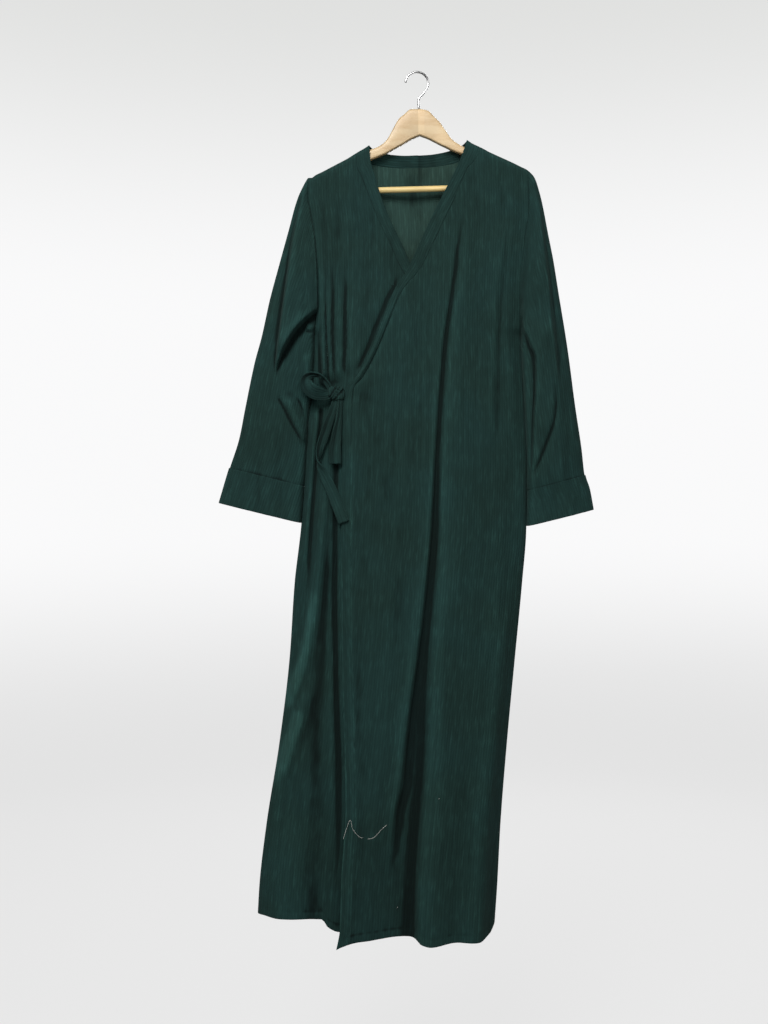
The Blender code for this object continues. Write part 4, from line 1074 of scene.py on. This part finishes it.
def sleeve_grid(side, steps, front, rear):
    """A sleeve's places and directions, from the armhole to its lower end, and its places
    before the folds."""
    sign, left = SIGN[side], side == "left"
    seam_at, seam_out = armhole(front, rear)
    low = ease((LEVEL_EVEN - seam_at[:, 2]) / (LEVEL_EVEN - UNDERARM))
    start = seam_at + np.stack([sign * INNER_LEAN * low, 0 * low, 0 * low], axis=-1)
    step, angle = np.meshgrid(steps, ring_angles(front[0]), indexing="ij")
    first = sleeve_ring(side, np.zeros_like(angle[0]), angle[0])
    blend = ease(1 - step / SLEEVE_BLEND)[..., None]
    grid = sleeve_ring(side, step, angle) + (start - first) * blend
    plain = grid.copy()
    facing, behind = (np.clip(s * np.sin(angle), 0, 1) ** 0.5 for s in (1, -1))
    x, y, z = grid[..., 0], grid[..., 1], grid[..., 2]
    free = ease(step / 0.6)
    seed = 51 if left else 61
    lift = rise(FOLDS_SLEEVE[side], x, z)
    rear_lift = rise(FOLDS_SLEEVE_BACK[side], x, z)
    y -= (lift * free + slack(x * SLEEVE_WAVES, z, seed) * free) * facing
    y -= flap(side, x, z) * facing * ease(step / (0.16 if left else 1.2))
    y += (rear_lift + slack(x * SLEEVE_WAVES, z, seed + 5)) * behind * free
    tuck = bell(angle - math.pi, 0.2) * ease((step - 0.1) / 0.9)
    inward = np.where(step < CUFF_STARTS[side] - 0.01, TUCK_IN + CUFF_DRAW * near_cuff(side, step),
                      TUCK_IN - 0.9)
    x -= sign * tuck * inward
    y += tuck * TUCK_BACK
    normal = grid_normals(grid, True) * (-sign)
    normal[0] = unit(seam_out * (1 - low[:, None]) + normal[0] * low[:, None])
    return grid, normal, plain


def flap(side, x, z):
    """The part of a sleeve's front that hangs over the rest, and the pocket under its edge."""
    edge, ridge = FLAP_EDGES[side]
    within, along = edge.reach(x, z)
    beside, _ = ridge.reach(x, z)
    share = along / edge.run[-1]
    if side == "left":
        within = -within
        proud = 2.5 + 12 * ease((-215 - z) / 240)
        inside = ease(beside / 6 + 0.5)
        pocket, spread = 12 * ease(share / 0.15) * ease((1 - share) / 0.5), 9 + 7 * (1 - share)
    else:
        proud = 8.5 * ease((-425 - z) / 70) * ease((z + 800) / 70)
        inside = ease(-beside / 26 + 0.9)
        pocket, spread = 5 * ease((share - 0.1) / 0.15) * ease((1 - share) / 0.1), 14
    front = ease(within / 3.2 + 0.5)
    return proud * inside * front - pocket * (1 - front) * bell(within, spread)


def sleeve_uv(grid):
    """Wales along the sleeve: across them from its outer edge each way, along it downwards."""
    closed = np.concatenate([grid, grid[:, :1]], axis=1)
    line = grid[:, 0]
    for _ in range(30):
        line = np.concatenate([line[:1], (line[:-2] + 2 * line[1:-1] + line[2:]) / 4, line[-1:]])
    down = unit(np.gradient(line, axis=0))[:, None]
    step = np.diff(closed, axis=1)
    level = np.sum(step * down, axis=-1, keepdims=True)
    across = np.linalg.norm(step - level * down, axis=-1)
    across = np.concatenate([np.zeros((len(grid), 1)), np.cumsum(across, axis=1)], axis=1)
    lift = np.sum((closed - closed[:, :1]) * down, axis=-1)
    return np.stack([across, arc(grid[:, :1]) + lift], axis=-1) / PITCH


def sleeves(cloth, inside, front_edges, back_edges):
    """Both sleeves, each with its turned cuff."""
    for side in ("left", "right"):
        start, end = CUFF_STARTS[side], float(SLEEVES[side]["step"][-1])
        per_step = STEP_LENGTH / CELL
        body = np.linspace(0, start - 0.02, int(start * per_step))
        turned = np.linspace(start, end, int((end - start) * per_step * 1.2))
        last = len(turned) - 1
        turned = np.insert(turned, [1, 1, last, last],
                           [start + 0.01, start + 0.03, end - 0.03, end - 0.01])
        rings = len(turned)
        steps = np.concatenate([[0, 0.008], body[1:], turned])
        grid, normal, plain = sleeve_grid(side, steps, front_edges[side], back_edges[side])
        uv = sleeve_uv(plain)
        share = np.linspace(0, 1, rings)[:, None, None]
        cuff = grid[-rings:] + normal[-rings:] * (CLOTH + CUFF_PROUD + CUFF_PROUD * share)
        # Painted shade: a thin dark line along the cuff's upper edge
        shell("cuff_" + side, cuff, normal[-rings:], uv[-rings:], cloth, ring=True,
              lines=0.6 * bell(share[..., 0], 0.03) + 0 * cuff[..., 0])
        stop = len(steps) - max(2, rings // 4)
        # Painted shade where the sleeve goes under its cuff and along its armhole seam
        seam = 0.7 * bell(steps - start + 0.03, 0.05)
        seam = seam + (0.9 if side == "left" else 0.4) * bell(steps, 0.05)
        shell("sleeve_" + side, grid[:stop], normal[:stop], uv[:stop], cloth, ring=True,
              inside=inside, lines=seam[:stop, None] + 0 * grid[:stop, :, 0])


def ribbon(node, cloth, thick, route):
    """A pressed, doubled tie along its route."""
    x, z, width, off, twist = smooth_line(route, 14).T
    behind = np.min([cloth_front(x + width * s, z) for s in (-0.6, -0.3, 0, 0.3, 0.6)], axis=0)
    behind = np.minimum(behind, -TIE_FRONT)
    middle = np.stack([x, behind - WALL / 2 - thick / 2 - off, z], axis=-1)
    for _ in range(6):
        middle[1:-1] = (middle[:-2] + 2 * middle[1:-1] + middle[2:]) / 4
    along = unit(np.gradient(middle, axis=0))
    side = unit(np.cross(along, (0, 1, 0)))
    facing = unit(np.cross(side, along))
    turn = np.radians(twist)[:, None]
    side, facing = (side * np.cos(turn) + facing * np.sin(turn),
                    facing * np.cos(turn) - side * np.sin(turn))
    share = np.array(RIBBON_ACROSS)
    grid = middle[:, None] + side[:, None] * (width[:, None] * share)[..., None]
    run = arc(grid)[:, 5:6]
    crease = 0.5 * np.sin(run / 31 + 4 * share) - 0.9 * bell(share - 0.1, 0.1)
    crease = crease - 1.6 * share ** 2 * 4
    grid = grid + facing[:, None] * crease[..., None]
    plump = np.ones(grid.shape[:2]) * np.array(RIBBON_FULL)
    plump[[0, -1]] *= 0.5
    shell(node, grid, grid_normals(grid), band_uv(grid), cloth, thick=thick, plump=plump)


def knot(cloth):
    """The tie's knot: a rounded block with the ribbon's turns pressed into it."""
    size = np.array([KNOT["wide"], KNOT["deep"], KNOT["tall"]]) / 2
    polar = np.linspace(0.02, math.pi - 0.02, KNOT_RINGS)[:, None]
    turn = (2 * math.pi * np.arange(KNOT_SIDES) / KNOT_SIDES)[None, :]
    v = np.stack([np.sin(polar) * np.cos(turn), np.sin(polar) * np.sin(turn),
                  np.cos(polar) + 0 * turn], axis=-1)
    points = np.sign(v) * np.abs(v) ** KNOT_SQUARE * size
    flat = points[..., [0, 2]].reshape(-1, 2)
    x, z = flat.T
    groove = sum(deep * bell(z * slope - x - shift, wide)
                 for slope, shift, deep, wide in KNOT_GROOVES)
    points = points.reshape(-1, 3) * (1 - groove / KNOT_MEAN)[:, None]
    reach = float(read(OVER_EDGE, "across", KNOT["z"])) - KNOT_IN
    height = np.linspace(-size[2], size[2], 9)
    behind = float(np.min(under_depth(np.full(9, reach), KNOT["z"] + height)))
    centre = (reach, behind - WALL / 2 - EASE - size[1], KNOT["z"])
    quads = ring_quads(KNOT_RINGS, KNOT_SIDES)[:, [0, 3, 2, 1]]
    caps = cap_quads(KNOT_RINGS, KNOT_SIDES)[:, ::-1]
    places = np.concatenate([flat[quads] / PITCH, np.zeros((len(caps), 4, 2))])
    # Painted shade, darker in the knot's grooves
    made = surface("tie_knot_cloth", points + centre, np.concatenate([quads, caps]), [cloth],
                   places, shades=groove / KNOT_DARK)
    replace(made, "tie_knot")


def lint(stuff):
    """The loose white thread and two specks of lint on the over front, above its hem."""
    points, quads = [], []
    for line in LINT:
        x, z = smooth_line(line, 8).T
        y = over_depth(x, z) - CLOTH / 2 - 0.9 - 0.5 * np.sin(np.linspace(0, 9, len(x)))
        middle = np.stack([x, y, z], axis=-1)
        along = unit(np.gradient(middle, axis=0))
        side = unit(np.cross(along, (0.0, 1.0, 0.0)))
        out = np.cross(side, along)
        first = len(points)
        for p, s, o in zip(middle, side, out):
            points += [p + LINT_HALF * v for v in (s, o, -s, -o)]
        last = len(points) - 4
        quads += (ring_quads(len(middle), 4) + first).tolist()
        quads += [[first + 3, first + 2, first + 1, first], [last, last + 1, last + 2, last + 3]]
    surface("loose_thread", points, quads, [stuff])


def rod(name, node, line, radius, stuff, sides=28):
    """A round wire or dowel along a line of places, rounded at its ends."""
    line = np.array(line, float)
    along = unit(np.gradient(line, axis=0))
    ends = (line[0], -along[0], along[0]), (line[-1], along[-1], along[-1])
    caps = [[(end + out * radius * (math.sin(t) - 0.9), math.cos(t), way)
             for t in ROD_BENDS] for end, out, way in ends]
    turn = 2 * math.pi * np.arange(sides) / sides
    grid = []
    for p, full, way in caps[0] + [(p, 1, way) for p, way in zip(line, along)] + caps[1][::-1]:
        s = unit(np.cross(way, (0.0, -1.0, 0.0)))
        f = unit(np.cross(s, way))
        grid.append(p + radius * full * (np.cos(turn)[:, None] * s + np.sin(turn)[:, None] * f))
    grid = np.array(grid)
    ring, place = ring_faces(len(grid), sides)
    places = np.stack([place, arc(grid)[:, 0][ring]], axis=-1)
    closed = cap_quads(len(grid), sides)
    faces = np.concatenate([ring_quads(len(grid), sides), closed])
    places = np.concatenate([places, np.zeros((len(closed), 4, 2))])
    replace(surface(name, grid.reshape(-1, 3), faces, [stuff], places), node)


def hanger(wood, bar_wood, chrome):
    """The wooden arms, the trouser bar and the hook."""
    out = np.concatenate([np.linspace(0, 40, 17), np.linspace(43, 184, 40),
                          [185.9, 186.1, 188, 191, 194, 196, 198, 199.5, 200.6, 201.4, 202]])
    turn = np.radians(np.linspace(-90, 90, 13))
    grid = []
    for x in np.concatenate([-out[:0:-1], out]):
        top, bottom, thick = (float(read(ARM, column, abs(x), "out"))
                              for column in ("top", "bottom", "thick"))
        top -= float(read(CROWN_DIP, "dip", x, "out"))
        half, crown, corner = thick / 2, ARM_CROWN * min(thick, top - bottom), ARM_CORNER * thick
        section = [(-half, bottom + corner)]
        section += [(half * math.sin(t), top - crown * (1 - math.cos(t))) for t in turn]
        section += [(half, bottom + corner), (half - corner * 0.3, bottom + corner * 0.3),
                    (half - corner, bottom), (-half + corner, bottom),
                    (-half + corner * 0.3, bottom + corner * 0.3)]
        grid.append([(tilted(x, z)[0], y, tilted(x, z)[1]) for y, z in section])
    grid = np.array(grid)
    rings, sides = grid.shape[:2]
    points = np.concatenate([grid.reshape(-1, 3), [grid[0].mean(axis=0), grid[-1].mean(axis=0)]])
    quads = ring_quads(rings, sides).tolist()
    for ring, centre in ((0, rings * sides), (rings - 1, rings * sides + 1)):
        for a in range(0, sides, 2):
            ids = [ring * sides + (a + i) % sides for i in range(3)]
            quads.append([centre] + (ids[::-1] if ring == 0 else ids))
    replace(surface("hanger_arms_wood", points, quads, [wood]), "hanger_arms")
    ends = [tilted(x, BAR_HEIGHT) for x in np.linspace(-BOSS_X, BOSS_X, 12)]
    bar = [(x, 0, z) for x, z in ends]
    rod("hanger_bar_wood", "hanger_bar", bar, BAR_RADIUS, bar_wood)
    wire = smooth_line(hook_line(), 5)
    rod("hanger_hook_wire", "hanger_hook", wire, HOOK_WIRE, chrome)


class Nodes:
    """Short names for building a material's nodes."""

    def __init__(self, name):
        self.material = bpy.data.materials.new(name)
        self.material.use_nodes = True
        self.tree = self.material.node_tree
        self.shader = self.tree.nodes["Principled BSDF"]

    def put(self, socket, value):
        if isinstance(value, bpy.types.NodeSocket):
            self.tree.links.new(value, socket)
        else:
            socket.default_value = value

    def finish(self, **values):
        """Sets the shader's sockets, with _ for each space in their names."""
        for key, value in values.items():
            self.put(self.shader.inputs[key.replace("_", " ")], value)
        return self.material

    def node(self, kind, inputs=(), **settings):
        made = self.tree.nodes.new(kind)
        for key, value in settings.items():
            setattr(made, key, value)
        for key, value in dict(inputs).items():
            self.put(made.inputs[key], value)
        return made

    def place(self):
        return self.node("ShaderNodeTexCoord").outputs["Object"]

    def math(self, operation, a, b=0.0):
        return self.node("ShaderNodeMath", {0: a, 1: b}, operation=operation).outputs[0]

    def plus(self, a, b):
        return self.math("ADD", a, b)

    def times(self, a, b):
        return self.math("MULTIPLY", a, b)

    def step(self, value, low, high, out_low=0.0, out_high=1.0):
        inputs = {"Value": value, "From Min": low, "From Max": high, "To Min": out_low,
                  "To Max": out_high}
        made = self.node("ShaderNodeMapRange", inputs, interpolation_type="SMOOTHSTEP")
        return made.outputs["Result"]

    def noise(self, vector, scale, detail=2.0, rough=0.5):
        inputs = {"Vector": vector, "Scale": scale, "Detail": detail, "Roughness": rough}
        return self.node("ShaderNodeTexNoise", inputs).outputs["Fac"]

    def stretched(self, u, by_u, v, by_v, detail=2.0, rough=0.5):
        """Noise stretched along the wales."""
        flat = {"X": self.times(u, by_u), "Y": self.times(v, by_v)}
        return self.noise(self.node("ShaderNodeCombineXYZ", flat).outputs[0], 1.0, detail, rough)

    def mix(self, share, a, b):
        return self.node("ShaderNodeMix", {0: share, 6: a, 7: b}, data_type="RGBA").outputs[2]

    def scaled(self, colour, by):
        inputs = {0: colour, "Scale": by}
        return self.node("ShaderNodeVectorMath", inputs, operation="SCALE").outputs[0]

    def bump(self, height, distance, strength=1.0):
        inputs = {"Height": height, "Distance": distance, "Strength": strength}
        return self.node("ShaderNodeBump", inputs).outputs["Normal"]


def corduroy(name, wale, groove, deep, sheen):
    """Cotton corduroy: rounded pile wales with narrow grooves, streaks along them and a cloudy
    nap, with painted shade in the cloth's hollows and painted highlights on its ridges and on
    some seams and edges."""
    n = Nodes(name)
    uv = n.node("ShaderNodeUVMap", uv_map="cloth").outputs[0]
    u, v = n.node("ShaderNodeSeparateXYZ", {0: uv}).outputs[:2]
    across = n.plus(u, n.times(n.stretched(u, 0.15, v, 0.06), 0.7))
    profile = n.step(n.math("PINGPONG", across, 0.5), 0.02, 0.3)
    row = n.math("FLOOR", across)
    each = n.node("ShaderNodeTexWhiteNoise", {"W": row}, noise_dimensions="1D").outputs["Value"]
    streak = n.stretched(across, 0.8, v, 0.05, 3.0)
    strokes = n.stretched(across, 1.1, v, 0.16)
    pile = n.stretched(across, 5.0, v, 3.2, 2.0, 0.65)
    place = n.place()
    cloud = n.noise(place, 7.0, 3.0, 0.55)
    small = n.noise(place, 42.0, 3.0, 0.6)
    shade = n.times(each, 0.12)
    for part in (n.times(streak, 0.3), n.times(pile, 0.4), n.step(strokes, 0.48, 0.75, 0.0, 0.36),
                 n.times(cloud, 0.5), n.times(small, 0.2), 0.12):
        shade = n.plus(shade, part)
    painted_light = n.node("ShaderNodeAttribute", attribute_name="painted_light").outputs["Fac"]
    colour = n.scaled(n.mix(profile, groove, wale), shade)
    # Painted shade: darker where the cloth lies in hollows or under a painted dark line
    colour = n.scaled(colour, n.step(painted_light, LEVEL, LEVEL + 1, 1.0, 0.30))
    # Painted highlight: paler on ridges and along the painted pale lines
    colour = n.scaled(colour, n.step(painted_light, LEVEL - 3, LEVEL, 2.3, 1.0))
    blue = n.mix(n.step(cloud, 0.35, 0.65), (1.03, 0.995, 0.97, 1), (0.97, 1.0, 1.03, 1))
    tinted = n.node("ShaderNodeVectorMath", {0: colour, 1: blue}, operation="MULTIPLY")
    height = n.plus(profile, n.times(pile, 0.35))
    return n.finish(Base_Color=tinted.outputs[0], Normal=n.bump(height, deep * MM), Roughness=0.92,
                    Specular_IOR_Level=0.15, Sheen_Weight=sheen, Sheen_Roughness=0.45,
                    Sheen_Tint=(0.5, 0.8, 0.72, 1))


def beech(name, light, dark, along, facet_highlight=1.0):
    """Varnished beech: long grain with short darker flecks, a painted highlight on the bevel just
    right of the middle, and the right arm a little paler past it.
    """
    n = Nodes(name)
    place = n.place()
    turned = {"Vector": place, "Scale": along, "Rotation": (0, 0.028, 0)}
    stretch = n.node("ShaderNodeMapping", turned).outputs[0]
    grain = n.noise(stretch, 1.0, 5.0, 0.6)
    flecks = n.noise(stretch, 4.5, 2.0, 0.7)
    share = n.plus(n.step(grain, 0.35, 0.68, 0.0, 0.75), n.times(n.step(flecks, 0.62, 0.74), 0.35))
    broad = n.step(n.noise(place, 22.0), 0.3, 0.7, 0.92, 1.05)
    colour = n.scaled(n.mix(share, light, dark), broad)
    across = n.node("ShaderNodeSeparateXYZ", {"Vector": place}).outputs["X"]
    # Painted highlight on the bevel just right of the middle, and a paler right arm past it
    colour = n.scaled(colour, n.step(across, -0.001, 0.001, 1.0, facet_highlight))
    colour = n.scaled(colour, n.step(across, 0.010, 0.013, 1.0, (1 + facet_highlight) / (2 * facet_highlight)))
    return n.finish(Base_Color=colour, Normal=n.bump(grain, 0.00012, 0.25), Roughness=0.42,
                    Coat_Weight=0.2, Coat_Roughness=0.35)


def thread(name, colour):
    """Matt cotton thread."""
    n = Nodes(name)
    fuzz = n.step(n.noise(n.place(), 1500.0), 0.2, 0.8, 0.8, 1.1)
    return n.finish(Base_Color=n.scaled(colour, fuzz), Roughness=0.9)


def plated(name):
    """Bright plated wire with faint drawing marks and a little dulling."""
    n = Nodes(name)
    place = n.place()
    marks = n.noise(place, 900.0)
    dull = n.step(n.noise(place, 60.0, 3.0), 0.4, 0.7)
    return n.finish(Base_Color=n.mix(dull, (0.5, 0.5, 0.5, 1), (0.36, 0.36, 0.36, 1)),
                    Roughness=n.step(marks, 0.3, 0.7, 0.12, 0.26), Metallic=1.0)


def studio():
    """The camera, the soft lights and a round room with a floor, whose white is mostly its own
    painted glow, brighter on the wall than on the floor and dome.
    """
    scene = bpy.context.scene
    scene.view_settings.view_transform = "Standard"
    scene.view_settings.look = "None"
    world = bpy.data.worlds.new("studio")
    world.use_nodes = True
    world.node_tree.nodes["Background"].inputs["Color"].default_value = (1.0, 1.0, 1.0, 1)
    world.node_tree.nodes["Background"].inputs["Strength"].default_value = WORLD
    scene.world = world

    camera = bpy.data.cameras.new("camera")
    camera.lens, camera.sensor_width, camera.sensor_fit = LENS, 36.0, "AUTO"
    camera.clip_end = 50
    seat = bpy.data.objects.new("camera", camera)
    seat.location = CAMERA
    seat.rotation_euler = (math.pi / 2, 0, 0)
    scene.collection.objects.link(seat)
    scene.camera = seat

    for name, spot, target, size, energy in LIGHTS:
        data = bpy.data.lights.new(name, "AREA")
        data.shape, data.size, data.energy = "DISK", size, energy
        lamp = bpy.data.objects.new(name, data)
        lamp.location = spot
        toward = np.array(target) - np.array(spot)
        yaw = math.atan2(toward[1], toward[0]) - math.pi / 2
        pitch = math.atan2(toward[2], math.hypot(toward[0], toward[1])) + math.pi / 2
        lamp.rotation_euler = (pitch, 0, yaw)
        lamp.visible_camera = False
        scene.collection.objects.link(lamp)

    # The room's outline by radius and height: a flat floor, a bend, a wall and a dome
    profile = [(radius, FLOOR) for radius in (0.0, 1.2, 2.6, FLAT_RADIUS)]
    profile += [(FLAT_RADIUS + BEND * math.sin(t), FLOOR + BEND * (1 - math.cos(t)))
                for t in np.linspace(0.15, math.pi / 2, 10)]
    profile += [(ROOM_RADIUS, WALL_TOP)]
    profile += [(ROOM_RADIUS * math.cos(t), WALL_TOP + DOME * math.sin(t))
                for t in np.linspace(0.15, 1.5, 12)]
    profile += [(0.0, ROOM_PEAK)]
    turns = [2 * math.pi * a / ROOM_SIDES for a in range(ROOM_SIDES)]
    points = [(radius * math.cos(turn), radius * math.sin(turn), height)
              for radius, height in profile for turn in turns]
    mesh = bpy.data.meshes.new("studio_room")
    mesh.from_pydata(points, [], ring_quads(len(profile), ROOM_SIDES).tolist())
    mesh.shade_smooth()
    n = Nodes("studio_painted_glow")
    height = n.node("ShaderNodeSeparateXYZ", {0: n.place()}).outputs[2]
    # Painted glow by height: the room shines white without being a lamp
    lower = n.mix(n.step(height, -2.0, -0.9), ROOM_LOW, ROOM_HIGH)
    glow = n.mix(n.step(height, 0.2, 2.2), lower, ROOM_TOP)
    mesh.materials.append(n.finish(
        Base_Color=(0.12, 0.12, 0.12, 1), Emission_Color=glow, Emission_Strength=1.0,
        Roughness=1.0, Specular_IOR_Level=0.0))
    room = bpy.data.objects.new("studio_room", mesh)
    scene.collection.objects.link(room)
    room.visible_diffuse = room.visible_shadow = room.visible_glossy = False


def main():
    studio()
    cloth = corduroy("corduroy_pile", *PILE, deep=0.32, sheen=0.05)
    inside = corduroy("corduroy_wrong_side", *WRONG_SIDE, deep=0.2, sheen=0.02)
    wood = beech("beech_arms", *ARMS_WOOD, along=(14, 90, 90), facet_highlight=1.18)
    bar_wood = beech("beech_bar", *BAR_WOOD, along=(10, 160, 160))
    hanger(wood, bar_wood, plated("plated_wire"))
    back_edges = back(cloth, inside)
    front_edges = fronts(cloth, inside)
    sleeves(cloth, inside, front_edges, back_edges)
    knot(cloth)
    for node, (thick, route) in TIES.items():
        ribbon(node, cloth, thick, route)
    lint(thread("white_thread", THREAD))


main()
